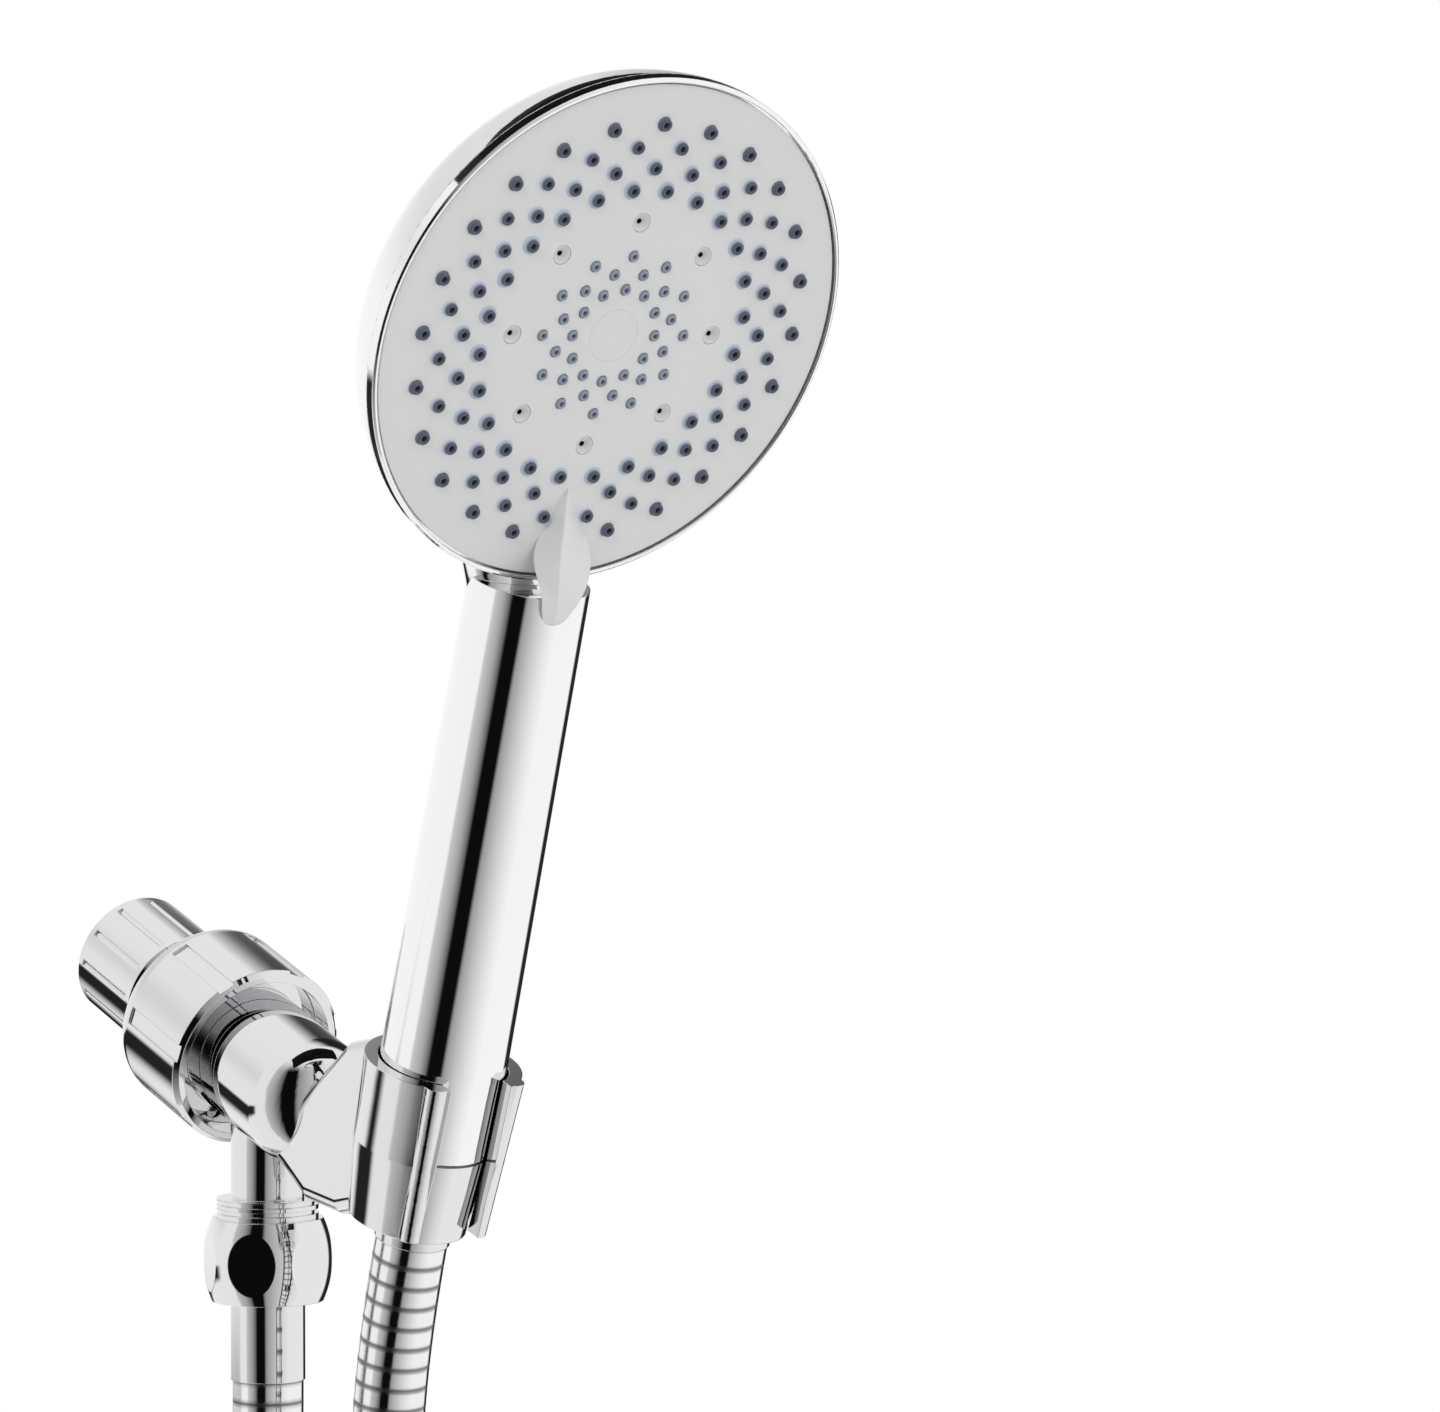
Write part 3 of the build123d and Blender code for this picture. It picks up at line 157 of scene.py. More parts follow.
class NozzleSizes(bpy.types.PropertyGroup):
    outer_radius: FloatProperty(name="Outer nozzle", description="Radius of an outer nozzle",
                                default=1.22 * MM, unit="LENGTH")
    inner_radius: FloatProperty(name="Inner nozzle", description="Radius of an inner nozzle",
                                default=0.93 * MM, unit="LENGTH")
    height: FloatProperty(name="Height", description="Height of a nozzle over the face",
                          default=1.0 * MM, unit="LENGTH")
    dish_radius: FloatProperty(name="Mist dish", description="Radius of a mist outlet's dish",
                               default=1.85 * MM, unit="LENGTH")


class FinishColours(bpy.types.PropertyGroup):
    chrome: FloatVectorProperty(name="Chrome", description="Colour of the chrome plate",
                                default=(0.90, 0.90, 0.91), subtype="COLOR")
    steel: FloatVectorProperty(name="Hose steel", description="Colour of the hose's strip",
                               default=(0.86, 0.86, 0.87), subtype="COLOR")
    face: FloatVectorProperty(name="Face", description="Colour of the white face",
                              default=(0.80, 0.80, 0.805), subtype="COLOR")
    silicone: FloatVectorProperty(name="Silicone", description="Colour of the nozzle tips",
                                  default=(0.10, 0.115, 0.16), subtype="COLOR")
    base: FloatVectorProperty(name="Nozzle base", description="Colour round a nozzle's foot",
                              default=(0.56, 0.63, 0.74), subtype="COLOR")
    rubber: FloatVectorProperty(name="Rubber", description="Colour of washers and seals",
                                default=(0.02, 0.02, 0.022), subtype="COLOR")


class StageSizes(bpy.types.PropertyGroup):
    floor_radius: FloatProperty(name="Floor radius", description="Radius of the pale floor",
                                default=1.35, unit="LENGTH")
    floor_drop: FloatProperty(name="Floor gap", description="Floor below the object",
                              default=6 * MM, unit="LENGTH")
    sky: FloatProperty(name="Sky", description="Strength of the white surround", default=1.0)
    key: FloatProperty(name="Key light", description="Power of the large soft light",
                       default=9.0, unit="POWER")


# ---- Node graphs --------------------------------------------------------------------------
class Wire:
    """An output socket that can stand in arithmetic."""

    def __init__(self, graph, socket):
        self.graph = graph
        self.socket = socket

    def maths(self, operation, *values):
        return self.graph.node("ShaderNodeMath", {"operation": operation}, values)

    def __add__(self, other):
        return self.maths("ADD", self, other)

    def __radd__(self, other):
        return self.maths("ADD", other, self)

    def __sub__(self, other):
        return self.maths("SUBTRACT", self, other)

    def __rsub__(self, other):
        return self.maths("SUBTRACT", other, self)

    def __mul__(self, other):
        return self.maths("MULTIPLY", self, other)

    def __rmul__(self, other):
        return self.maths("MULTIPLY", other, self)

    def __truediv__(self, other):
        return self.maths("DIVIDE", self, other)

    def __rtruediv__(self, other):
        return self.maths("DIVIDE", other, self)

    def __pow__(self, other):
        return self.maths("POWER", self, other)


class Graph:
    """Adds nodes to a shader or geometry tree."""

    def __init__(self, tree):
        self.tree = tree

    def node(self, kind, settings=None, inputs=(), output=0):
        """Adds a node, sets its settings, fills its inputs and returns one of its outputs."""
        made = self.tree.nodes.new(kind)
        for name, value in (settings or {}).items():
            if name == "stops":
                self.fill_ramp(made.color_ramp, value)
            else:
                setattr(made, name, value)
        pairs = inputs.items() if isinstance(inputs, dict) else enumerate(inputs)
        for place, value in pairs:
            self.plug(made.inputs[place], value)
        if not made.outputs:
            return made
        return Wire(self, made.outputs[output])

    def plug(self, socket, value):
        if isinstance(value, Wire):
            self.tree.links.new(value.socket, socket)
        elif value is not None:
            socket.default_value = value

    @staticmethod
    def fill_ramp(ramp, stops):
        while len(ramp.elements) > 1:
            ramp.elements.remove(ramp.elements[-1])
        for number, (at, colour) in enumerate(stops):
            stop = ramp.elements[0] if number == 0 else ramp.elements.new(at)
            stop.position = at
            stop.color = (*colour, 1.0) if isinstance(colour, tuple) else (colour,) * 3 + (1.0,)

    def range(self, value, low, high, to_low=0.0, to_high=1.0, smooth=True):
        settings = {"interpolation_type": "SMOOTHSTEP" if smooth else "LINEAR"}
        return self.node("ShaderNodeMapRange", settings,
                         {"Value": value, "From Min": low, "From Max": high,
                          "To Min": to_low, "To Max": to_high})

    def blend(self, factor, first, second):
        """Mixes two colours, each a wire or a plain colour."""
        pair = [(*c, 1.0) if isinstance(c, (tuple, list)) and len(c) == 3 else c
                for c in (first, second)]
        return self.node("ShaderNodeMix", {"data_type": "RGBA"},
                         {0: factor, 6: pair[0], 7: pair[1]}, output=2)


class Finish(Graph):
    """A material under way: its Principled shader and the patterns that feed it."""

    def __init__(self, name, **constants):
        self.material = bpy.data.materials.new(name)
        self.material.use_nodes = True
        super().__init__(self.material.node_tree)
        self.tree.nodes.clear()
        self.shader = self.tree.nodes.new("ShaderNodeBsdfPrincipled")
        out = self.tree.nodes.new("ShaderNodeOutputMaterial")
        self.tree.links.new(self.shader.outputs[0], out.inputs["Surface"])
        for label, value in constants.items():
            socket = self.shader.inputs[label.replace("_", " ")]
            socket.default_value = (*value, 1.0) if isinstance(value, (tuple, list)) else value
        self.place = self.node("ShaderNodeTexCoord", output="Object")

    def feed(self, label, wire):
        self.plug(self.shader.inputs[label], wire)

    def noise(self, scale, detail=2.0, stretch=None):
        place = self.place
        if stretch:
            place = self.node("ShaderNodeMapping", {}, {"Vector": place, "Scale": stretch})
        return self.node("ShaderNodeTexNoise", {},
                         {"Vector": place, "Scale": scale, "Detail": detail})

    def bump(self, height, distance, strength=1.0, normal=None):
        return self.node("ShaderNodeBump", {}, {"Strength": strength, "Distance": distance,
                                                "Height": height, "Normal": normal})

    def soft_edges(self, radius):
        return self.node("ShaderNodeBevel", {"samples": 6}, {"Radius": radius})


def colours():
    return bpy.context.scene.shower_colours


# ---- Finishes -----------------------------------------------------------------------------
def chrome(name, share=1.0, edge=0.25 * MM):
    """Mirror chrome plate: faint waviness of the plated plastic, thin wipe marks, soft edges."""
    # painted shade: a share below 1 darkens the plate, giving dimmer copies of the same chrome
    plate = tuple(value * share for value in colours().chrome)
    finish = Finish(name, Metallic=1.0, Base_Color=plate)
    marks = finish.noise(55.0, 4.0, stretch=(1.0, 1.0, 0.25))
    finish.feed("Roughness", finish.range(marks, 0.42, 0.78, 0.025, 0.075))
    wave = finish.noise(38.0, 1.0)
    finish.feed("Normal", finish.bump(wave, 0.012 * MM, 0.6, finish.soft_edges(edge)))
    return finish.material


def hose_steel():
    """Bright rolled strip, duller down in the grooves and darker there with painted shade."""
    finish = Finish("hose_steel", Metallic=1.0)
    groove = finish.node("ShaderNodeAttribute", {"attribute_name": "groove"}, output="Fac")
    steel = tuple(colours().steel)
    # painted shade: the steel colour darkened down in the grooves
    groove_shade = tuple(0.16 * value for value in steel)
    finish.feed("Base Color", finish.blend(groove, steel, groove_shade))
    drawn = finish.noise(420.0, 3.0, stretch=(1.0, 1.0, 6.0))
    finish.feed("Roughness", finish.range(drawn, 0.3, 0.8, 0.05, 0.12) + groove * 0.25)
    finish.feed("Normal", finish.bump(drawn, 0.006 * MM, 0.5))
    return finish.material


def satin_white():
    """Moulded white face: satin, with a very fine spark texture."""
    finish = Finish("satin_white", Coat_Weight=0.25, Coat_Roughness=0.18, IOR=1.46)
    face = tuple(colours().face)
    tone = finish.noise(14.0, 2.0)
    warm = tuple(value * shade for value, shade in zip(face, (0.985, 0.985, 0.98)))
    finish.feed("Base Color", finish.blend(finish.range(tone, 0.3, 0.7), warm, face))
    grain = finish.noise(2600.0, 2.0)
    finish.feed("Roughness", finish.range(grain, 0.3, 0.7, 0.30, 0.40))
    finish.feed("Normal", finish.bump(grain, 0.006 * MM, 0.6, finish.soft_edges(0.2 * MM)))
    return finish.material


def nozzle_rubber():
    """Blue-grey silicone tips, paler and bluer at the foot."""
    finish = Finish("nozzle_rubber", IOR=1.43)
    foot = finish.node("ShaderNodeAttribute", {"attribute_name": "foot"}, output="Fac")
    tip = tuple(colours().silicone)
    finish.feed("Base Color", finish.blend(foot, tip, tuple(colours().base)))
    grain = finish.noise(1800.0, 2.0)
    finish.feed("Roughness", finish.range(grain, 0.3, 0.7, 0.38, 0.55))
    finish.feed("Normal", finish.bump(grain, 0.01 * MM, 0.5))
    return finish.material


def mist_plastic():
    """Pale glossy plastic of the mist outlets, with painted shade turning it black down in the
    bore.
    """
    finish = Finish("mist_plastic", Coat_Weight=0.3, IOR=1.46)
    bore = finish.node("ShaderNodeAttribute", {"attribute_name": "bore"}, output="Fac")
    # painted shade: near black down in the bore
    finish.feed("Base Color", finish.blend(bore, (0.74, 0.74, 0.73), (0.01, 0.01, 0.01)))
    finish.feed("Roughness", finish.range(finish.noise(1500.0), 0.3, 0.7, 0.28, 0.4))
    return finish.material


def plain_plastic(name, colour, low, high):
    """Moulded plastic with a fine grain."""
    finish = Finish(name, IOR=1.47)
    grain = finish.noise(1500.0, 3.0)
    shade = tuple(value * 0.92 for value in colour)
    finish.feed("Base Color", finish.blend(finish.noise(60.0, 2.0), shade, colour))
    finish.feed("Roughness", finish.range(grain, 0.3, 0.7, low, high))
    finish.feed("Normal", finish.bump(grain, 0.012 * MM, 0.6, finish.soft_edges(0.15 * MM)))
    return finish.material


def turned_metal(name, colour, low, high):
    """Machined metal with fine turning marks round the inlet axis."""
    finish = Finish(name, Metallic=1.0)
    turns = finish.noise(900.0, 3.0, stretch=(0.3, 1.0, 1.0))
    shade = tuple(value * 0.86 for value in colour)
    finish.feed("Base Color", finish.blend(turns, shade, colour))
    finish.feed("Roughness", finish.range(turns, 0.3, 0.7, low, high))
    finish.feed("Normal", finish.bump(turns, 0.008 * MM, 0.6, finish.soft_edges(0.15 * MM)))
    return finish.material


def woven_strap():
    """Soft looped strap, woven in a fine basket pattern."""
    finish = Finish("woven_strap", Sheen_Weight=0.4, Sheen_Roughness=0.5)
    across = finish.node("ShaderNodeTexWave", {"bands_direction": "X"},
                         {"Vector": finish.place, "Scale": 420.0, "Distortion": 1.5})
    along = finish.node("ShaderNodeTexWave", {"bands_direction": "Y"},
                        {"Vector": finish.place, "Scale": 420.0, "Distortion": 1.5})
    weave = across * along
    finish.feed("Base Color", finish.blend(weave, (0.055, 0.057, 0.062), (0.16, 0.165, 0.175)))
    finish.feed("Roughness", finish.range(weave, 0.0, 1.0, 0.95, 0.75))
    finish.feed("Normal", finish.bump(weave, 0.12 * MM, 0.8))
    return finish.material


# ---- Meshes -------------------------------------------------------------------------------
def face_frame():
    """Matrix from the face's own frame: X across, Y up the face, Z out of it."""
    up = FACE_OUT.cross(ACROSS)
    axes = Matrix((ACROSS, up, FACE_OUT)).transposed().to_4x4()
    return Matrix.Translation(FACE_CENTRE) @ axes


def face_height(radius):
    """Height of the domed face at a radius, in metres; negative behind the nozzle plane."""
    rise = (FACE_EDGE_DEPTH - FACE_CENTRE_DEPTH) * (radius / FACE_R) ** 2
    return -(FACE_CENTRE_DEPTH + rise) * MM


def new_object(name, mesh, material=None):
    made = bpy.data.objects.new(name, mesh)
    bpy.context.scene.collection.objects.link(made)
    if material:
        mesh.materials.clear()
        mesh.materials.append(material)
    return made


def lathe(name, outline, sides, values=None, attribute=None):
    """Mesh turned about Z from (radius, height) points; a radius of 0 closes as a pole."""
    points, faces, marks, rings = [], [], [], []
    for number, (radius, height) in enumerate(outline):
        count = sides if radius else 1
        rings.append(range(len(points), len(points) + count))
        for side in range(count):
            angle = 2 * pi * side / sides
            points.append((radius * cos(angle), radius * sin(angle), height))
            marks.append(values[number] if values else 0.0)
    for low, high in zip(rings, rings[1:]):
        for side in range(sides):
            after = (side + 1) % sides
            quad = [low[side % len(low)], low[after % len(low)], high[after % len(high)],
                    high[side % len(high)]]
            faces.append(list(dict.fromkeys(quad)))
    mesh = bpy.data.meshes.new(name)
    mesh.from_pydata(points, [], faces)
    mesh.shade_smooth()
    if attribute:
        layer = mesh.attributes.new(attribute, "FLOAT", "POINT")
        layer.data.foreach_set("value", marks)
    mesh.update()
    return mesh


def solidify_rings(name, rings, closed_along=False):
    """Mesh from rings of points, each joined to the next, with the ends closed."""
    sides = len(rings[0])
    points = [point for ring in rings for point in ring]
    faces = []
    count = len(rings)
    for number in range(count if closed_along else count - 1):
        here, after = number * sides, (number + 1) % count * sides
        for side in range(sides):
            turn = (side + 1) % sides
            faces.append((here + side, here + turn, after + turn, after + side))
    if not closed_along:
        faces.append(tuple(reversed(range(sides))))
        faces.append(tuple(range((count - 1) * sides, count * sides)))
    mesh = bpy.data.meshes.new(name)
    mesh.from_pydata(points, [], faces)
    mesh.shade_smooth()
    mesh.update()
    return mesh


def evaluated_mesh(thing):
    """Plain mesh of an object with its modifiers applied."""
    graph = bpy.context.evaluated_depsgraph_get()
    return bpy.data.meshes.new_from_object(thing.evaluated_get(graph))


def geometry_tree(name, inputs):
    """New geometry tree with named inputs; returns its graph and a dict of its input wires."""
    tree = bpy.data.node_groups.new(name, "GeometryNodeTree")
    tree.is_modifier = True
    tree.interface.new_socket("Geometry", in_out="INPUT", socket_type="NodeSocketGeometry")
    for label, kind in inputs:
        tree.interface.new_socket(label, in_out="INPUT", socket_type=f"NodeSocket{kind}")
    tree.interface.new_socket("Geometry", in_out="OUTPUT", socket_type="NodeSocketGeometry")
    graph = Graph(tree)
    entry = tree.nodes.new("NodeGroupInput")
    wires = {label: Wire(graph, entry.outputs[label])
             for label in ["Geometry", *(label for label, _ in inputs)]}
    return graph, wires


def close_tree(graph, geometry, material):
    """Realizes the instances, sets the material and ends the tree."""
    real = graph.node("GeometryNodeRealizeInstances", {}, [geometry])
    done = graph.node("GeometryNodeSetMaterial", {}, {"Geometry": real, "Material": material})
    end = graph.tree.nodes.new("NodeGroupOutput")
    graph.plug(end.inputs[0], done)


def run_tree(name, start, tree, values):
    """Runs a geometry tree over a mesh and returns the result as a plain mesh."""
    carrier = new_object(f"{name}_carrier", start)
    modifier = carrier.modifiers.new(tree.name, "NODES")
    modifier.node_group = tree
    sockets = {item.name: item.identifier for item in tree.interface.items_tree
               if item.item_type == "SOCKET" and item.in_out == "INPUT"}
    for label, value in values.items():
        modifier[sockets[label]] = value
    result = evaluated_mesh(carrier)
    carrier.modifiers.remove(modifier)
    bpy.data.objects.remove(carrier)
    result.name = name
    return result


def join(name, meshes, material, attributes=()):
    """One mesh from several, with their point attributes."""
    points, faces = [], []
    marks = {label: [] for label in attributes}
    for mesh in meshes:
        start = len(points)
        points += [vertex.co.copy() for vertex in mesh.vertices]
        faces += [[start + index for index in polygon.vertices] for polygon in mesh.polygons]
        for label in attributes:
            layer = mesh.attributes.get(label)
            marks[label] += ([item.value for item in layer.data] if layer
                             else [0.0] * len(mesh.vertices))
    whole = bpy.data.meshes.new(name)
    whole.from_pydata(points, [], faces)
    whole.shade_smooth()
    for label, values in marks.items():
        whole.attributes.new(label, "FLOAT", "POINT").data.foreach_set("value", values)
    whole.materials.append(material)
    whole.update()
    return whole


def finish_nodes(material, *names):
    """Gives CAD nodes a material in all their slots."""
    for name in names:
        mesh = NODES[name].data
        if not mesh.materials:
            mesh.materials.append(material)
        for slot in NODES[name].material_slots:
            slot.material = material


# ---- Stage --------------------------------------------------------------------------------
CAMERA_AT = Vector((-0.72814, -1.20201, 0.12590))
CAMERA_TARGET = Vector((0.0, -0.20833, 0.06133))
CAMERA_LENS = 167.1
CAMERA_SENSOR = 36.0
# brightness of the surround by compass angle from -Y, in degrees, positive towards +X
SURROUND = (
    (-180, 1.0), (-104, 0.97), (-100, 0.62), (-84, 0.42), (-72, 0.16), (-67, 0.004),
    (-43, 0.004), (-37, 0.36), (-15, 0.60), (12, 0.85), (36, 1.0), (104, 1.0), (111, 0.02),
    (136, 0.02), (141, 0.5), (150, 1.0), (180, 1.0),
)
# how far back (Y) or up (Z) a direction points, where each band of the surround starts and ends
REAR = (0.55, 0.72)
LOW_BAND = ((-0.13, -0.18), (-0.36, -0.28))
DIM_BAND = ((0.1, 0.5), (0.95, 0.6))
OVERHEAD = (0.72, 0.95)
LOW_COLOUR = (0.02, 0.02, 0.02)
DIM_COLOUR = (0.3, 0.3, 0.31)
DIM_SHARE = 0.3
WHITE = (1.0, 1.0, 1.0)
KEY_AT = (-1.3, -1.1, 0.9)
KEY_SIZE = 0.9
FLOOR_SOLID = 0.45              # share of the floor's radius inside which it does not fade
FLOOR_SIDES = 96
# corners of the flag, from the face centre
FLAG_CORNERS = ((-0.17, 0.0, 0.10), (0.22, 0.0, 0.08), (0.22, 0.13, 0.12), (-0.12, 0.10, 0.16))


def add_camera():
    data = bpy.data.cameras.new("camera")
    data.lens = CAMERA_LENS
    data.sensor_width = CAMERA_SENSOR
    data.clip_start = 0.01
    camera = bpy.data.objects.new("camera", data)
    bpy.context.scene.collection.objects.link(camera)
    camera.location = CAMERA_AT
    camera.rotation_mode = "QUATERNION"
    camera.rotation_quaternion = (CAMERA_TARGET - CAMERA_AT).to_track_quat("-Z", "Y")
    bpy.context.scene.camera = camera


def add_surround(strength):
    """White studio all round, with soft dark flags at set compass angles for the chrome."""
    world = bpy.data.worlds.new("studio")
    bpy.context.scene.world = world
    world.use_nodes = True
    graph = Graph(world.node_tree)
    graph.tree.nodes.clear()
    way = graph.node("ShaderNodeTexCoord", output="Generated")
    parts = graph.node("ShaderNodeSeparateXYZ", {}, [way]).socket.node
    x, y, z = (Wire(graph, socket) for socket in parts.outputs)
    angle = graph.node("ShaderNodeMath", {"operation": "ARCTAN2"}, [x, y * -1.0])
    stops = [((at + 180) / 360, value) for at, value in SURROUND]
    flags = graph.node("ShaderNodeValToRGB", {"stops": stops}, [angle / (2 * pi) + 0.5])
    behind = graph.range(y, *REAR)
    low, dim = (graph.range(z, *starts) * graph.range(z, *ends)
                for starts, ends in (LOW_BAND, DIM_BAND))
    rear = graph.blend(low, flags, LOW_COLOUR)
    rear = graph.blend(dim * DIM_SHARE, rear, DIM_COLOUR)
    lit = graph.blend(behind, flags, rear)
    lit = graph.blend(graph.range(z, *OVERHEAD), lit, WHITE)
    seen = graph.node("ShaderNodeLightPath", output="Is Camera Ray")
    shown = graph.blend(seen, lit, WHITE)
    sky = graph.node("ShaderNodeBackground", {}, {"Color": shown, "Strength": strength})
    out = graph.tree.nodes.new("ShaderNodeOutputWorld")
    graph.plug(out.inputs["Surface"], sky)


def add_key(power):
    """Large soft disc light that the chrome does not mirror."""
    data = bpy.data.lights.new("key_light", "AREA")
    data.shape = "DISK"
    data.size = KEY_SIZE
    data.energy = power
    lamp = bpy.data.objects.new("key_light", data)
    bpy.context.scene.collection.objects.link(lamp)
    lamp.location = KEY_AT
    lamp.rotation_mode = "QUATERNION"
    lamp.rotation_quaternion = (FACE_CENTRE - lamp.location).to_track_quat("-Z", "Y")
    lamp.visible_glossy = False


def add_flag():
    """Black flag over the head, seen only in the rim's reflection."""
    finish = Finish("black_flag", Base_Color=(0.0, 0.0, 0.0), Roughness=1.0)
    corners = [Vector(corner) for corner in FLAG_CORNERS]
    mesh = bpy.data.meshes.new("flag")
    mesh.from_pydata([FACE_CENTRE + corner for corner in corners], [], [(0, 1, 2, 3)])
    flag = new_object("flag", mesh, finish.material)
    flag.visible_camera = False
    flag.visible_diffuse = False
    flag.visible_shadow = False


def add_floor(radius, drop):
    """Pale round floor that fades into the white surround."""
    finish = Finish("pale_floor", Base_Color=(0.86, 0.86, 0.86), Roughness=0.9)
    parts = finish.node("ShaderNodeSeparateXYZ", {}, [finish.place]).socket.node
    x, y = (Wire(finish, parts.outputs[number]) for number in range(2))
    reach = (x * x + y * y) ** 0.5
    finish.feed("Alpha", finish.range(reach, radius * FLOOR_SOLID, radius, 1.0, 0.0))
    rings = [(radius * share, 0.0) for share in (1.0, 0.75, 0.5, 0.25)] + [(0.0, 0.0)]
    floor = new_object("floor", lathe("floor", rings, FLOOR_SIDES), finish.material)
    floor.data.transform(Matrix.Translation((0, 0, CAD_BOX[0][2] - drop)))
    floor.visible_glossy = False


class SHOWER_OT_stage(bpy.types.Operator):
    """Adds the camera, the studio surround, the key light and the floor"""
    bl_idname = "shower.stage"
    bl_label = "Stage"

    def execute(self, context):
        sizes = context.scene.shower_stage
        context.scene.view_settings.view_transform = "Standard"
        add_camera()
        add_surround(sizes.sky)
        add_key(sizes.key)
        add_flag()
        add_floor(sizes.floor_radius, sizes.floor_drop)
        return {"FINISHED"}


# ---- Hose ---------------------------------------------------------------------------------
def hose_points():
    """Route of the whole hose in metres: outlet run, coil, then up to the handset."""
    def place(forward, up, across):
        return Vector((across, -forward, up)) * MM
    points = [place(*spot) for spot in OUTLET_RUN]
    steps = round(COIL_TURNS * COIL_STEPS)
    for step in range(1, steps):
        angle = pi + 2 * pi * step / COIL_STEPS
        across = -COIL_HALF + 2 * COIL_HALF * step / steps
        points.append(place(COIL_FORWARD + COIL_R * cos(angle), COIL_UP + COIL_R * sin(angle),
                            across))
    points += [place(*spot) for spot in reversed(HANDSET_RUN)]
    end = HANDLE_TOP + HANDLE_UP * FERRULE_END
    return points + [end - HANDLE_UP * HOSE_LEAD, end]


def route_mesh(points):
    """Line of points along the smooth spline through the route."""
    data = bpy.data.curves.new("hose_route", "CURVE")
    data.dimensions = "3D"
    data.resolution_u = ROUTE_STEPS
    spline = data.splines.new("NURBS")
    spline.points.add(len(points) - 1)
    for point, spot in zip(spline.points, points):
        point.co = (*spot, 1.0)
    spline.order_u = 3
    spline.use_endpoint_u = True
    carrier = bpy.data.objects.new("hose_route", data)
    bpy.context.scene.collection.objects.link(carrier)
    line = evaluated_mesh(carrier)
    bpy.data.objects.remove(carrier)
    return line


def ridge_tree(material):
    """Tube along a line, with rounded ridges and narrow grooves at an even pitch."""
    graph, wires = geometry_tree("hose_ridges", [
        ("Radius", "Float"), ("Pitch", "Float"), ("Groove", "Float"), ("Step", "Float"),
        ("Sides", "Int")])
    curve = graph.node("GeometryNodeMeshToCurve", {}, [wires["Geometry"]])
    even = graph.node("GeometryNodeResampleCurve", {"mode": "LENGTH"},
                      {"Curve": curve, "Length": wires["Step"]})
    along = graph.node("GeometryNodeSplineParameter", output="Length")
    turn = (along / wires["Pitch"]).maths("FRACT", along / wires["Pitch"])
    off_middle = turn.maths("ABSOLUTE", turn - 0.5) * 2.0
    groove = graph.range(off_middle, GROOVE_START, GROOVE_FULL)
    crown = (off_middle ** 2.0) * CROWN_SHARE
    depth = (groove + crown) * wires["Groove"]
    # stores the groove share, which the steel finish also uses to paint shade into the grooves
    marked = graph.node("GeometryNodeStoreNamedAttribute",
                        {"data_type": "FLOAT", "domain": "POINT"},
                        {"Geometry": even, "Name": "groove", "Value": groove})
    sized = graph.node("GeometryNodeSetCurveRadius", {},
                       {"Curve": marked, "Radius": (wires["Radius"] - depth) / wires["Radius"]})
    ring = graph.node("GeometryNodeCurvePrimitiveCircle", {},
                      {"Resolution": wires["Sides"], "Radius": wires["Radius"]})
    body = graph.node("GeometryNodeCurveToMesh", {},
                      {"Curve": sized, "Profile Curve": ring, "Fill Caps": True})
    smooth = graph.node("GeometryNodeSetShadeSmooth", {}, [body])
    close_tree(graph, smooth, material)
    return graph.tree


class SHOWER_OT_hose(bpy.types.Operator):
    bl_idname = "shower.hose"
    bl_label = "Hose"

    def execute(self, context):
        sizes = context.scene.shower_hose
        route = route_mesh(hose_points())
        tree = ridge_tree(hose_steel())
        mesh = run_tree("hose", route, tree, {
            "Radius": sizes.diameter / 2, "Pitch": sizes.pitch, "Groove": sizes.groove,
            "Step": sizes.pitch / RIDGE_STEPS, "Sides": sizes.sides})
        hose = new_object("hose", mesh)
        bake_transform(hose)
        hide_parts("hose_outlet_run", "hose_coil", "hose_handset_run")
        strap = build_strap()
        return {"FINISHED"}


def rounded_loop(half_wide, half_deep, corner, per_corner=8, per_side=6):
    """Points and outward directions round a rectangle with round corners."""
    loop = []
    corners = ((1, 1, 0), (-1, 1, 90), (-1, -1, 180), (1, -1, 270))
    for number, (wide, deep, start) in enumerate(corners):
        centre = Vector((wide * (half_wide - corner), deep * (half_deep - corner)))
        for step in range(per_corner + 1):
            angle = radians(start + 90 * step / per_corner)
            out = Vector((cos(angle), sin(angle)))
            loop.append((centre + out * corner, out))
        after = corners[(number + 1) % 4]
        next_centre = Vector((after[0] * (half_wide - corner), after[1] * (half_deep - corner)))
        last, out = loop[-1]
        target = next_centre + out * corner
        if (target - last).length > corner / 4:
            for step in range(1, per_side):
                loop.append((last.lerp(target, step / per_side), out))
    return loop


def build_strap():
    """Flat strap round the lowest turns of the coil, with rounded selvedges."""
    centre = Vector((0, -COIL_FORWARD, COIL_UP - STRAP_RADIUS)) * MM
    half, thick = STRAP_WIDTH / 2 * MM, STRAP_THICK * MM
    section = [(-half, 0.15), (-half, 0.75), (-half * 0.9, 1.0), (0, 1.03), (half * 0.9, 1.0),
               (half, 0.75), (half, 0.15), (half * 0.9, 0.0), (-half * 0.9, 0.0)]
    rings = []
    for spot, out in rounded_loop(STRAP_HALF * MM, STRAP_DEEP * MM, STRAP_CORNER * MM):
        rings.append([centre + Vector((spot.x + out.x * share * thick, along,
                                       spot.y + out.y * share * thick))
                      for along, share in section])
    strap = new_object("coil_strap", solidify_rings("coil_strap", rings, closed_along=True),
                       woven_strap())
    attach(strap, "bracket")
    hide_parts("coil_tie")
    return strap


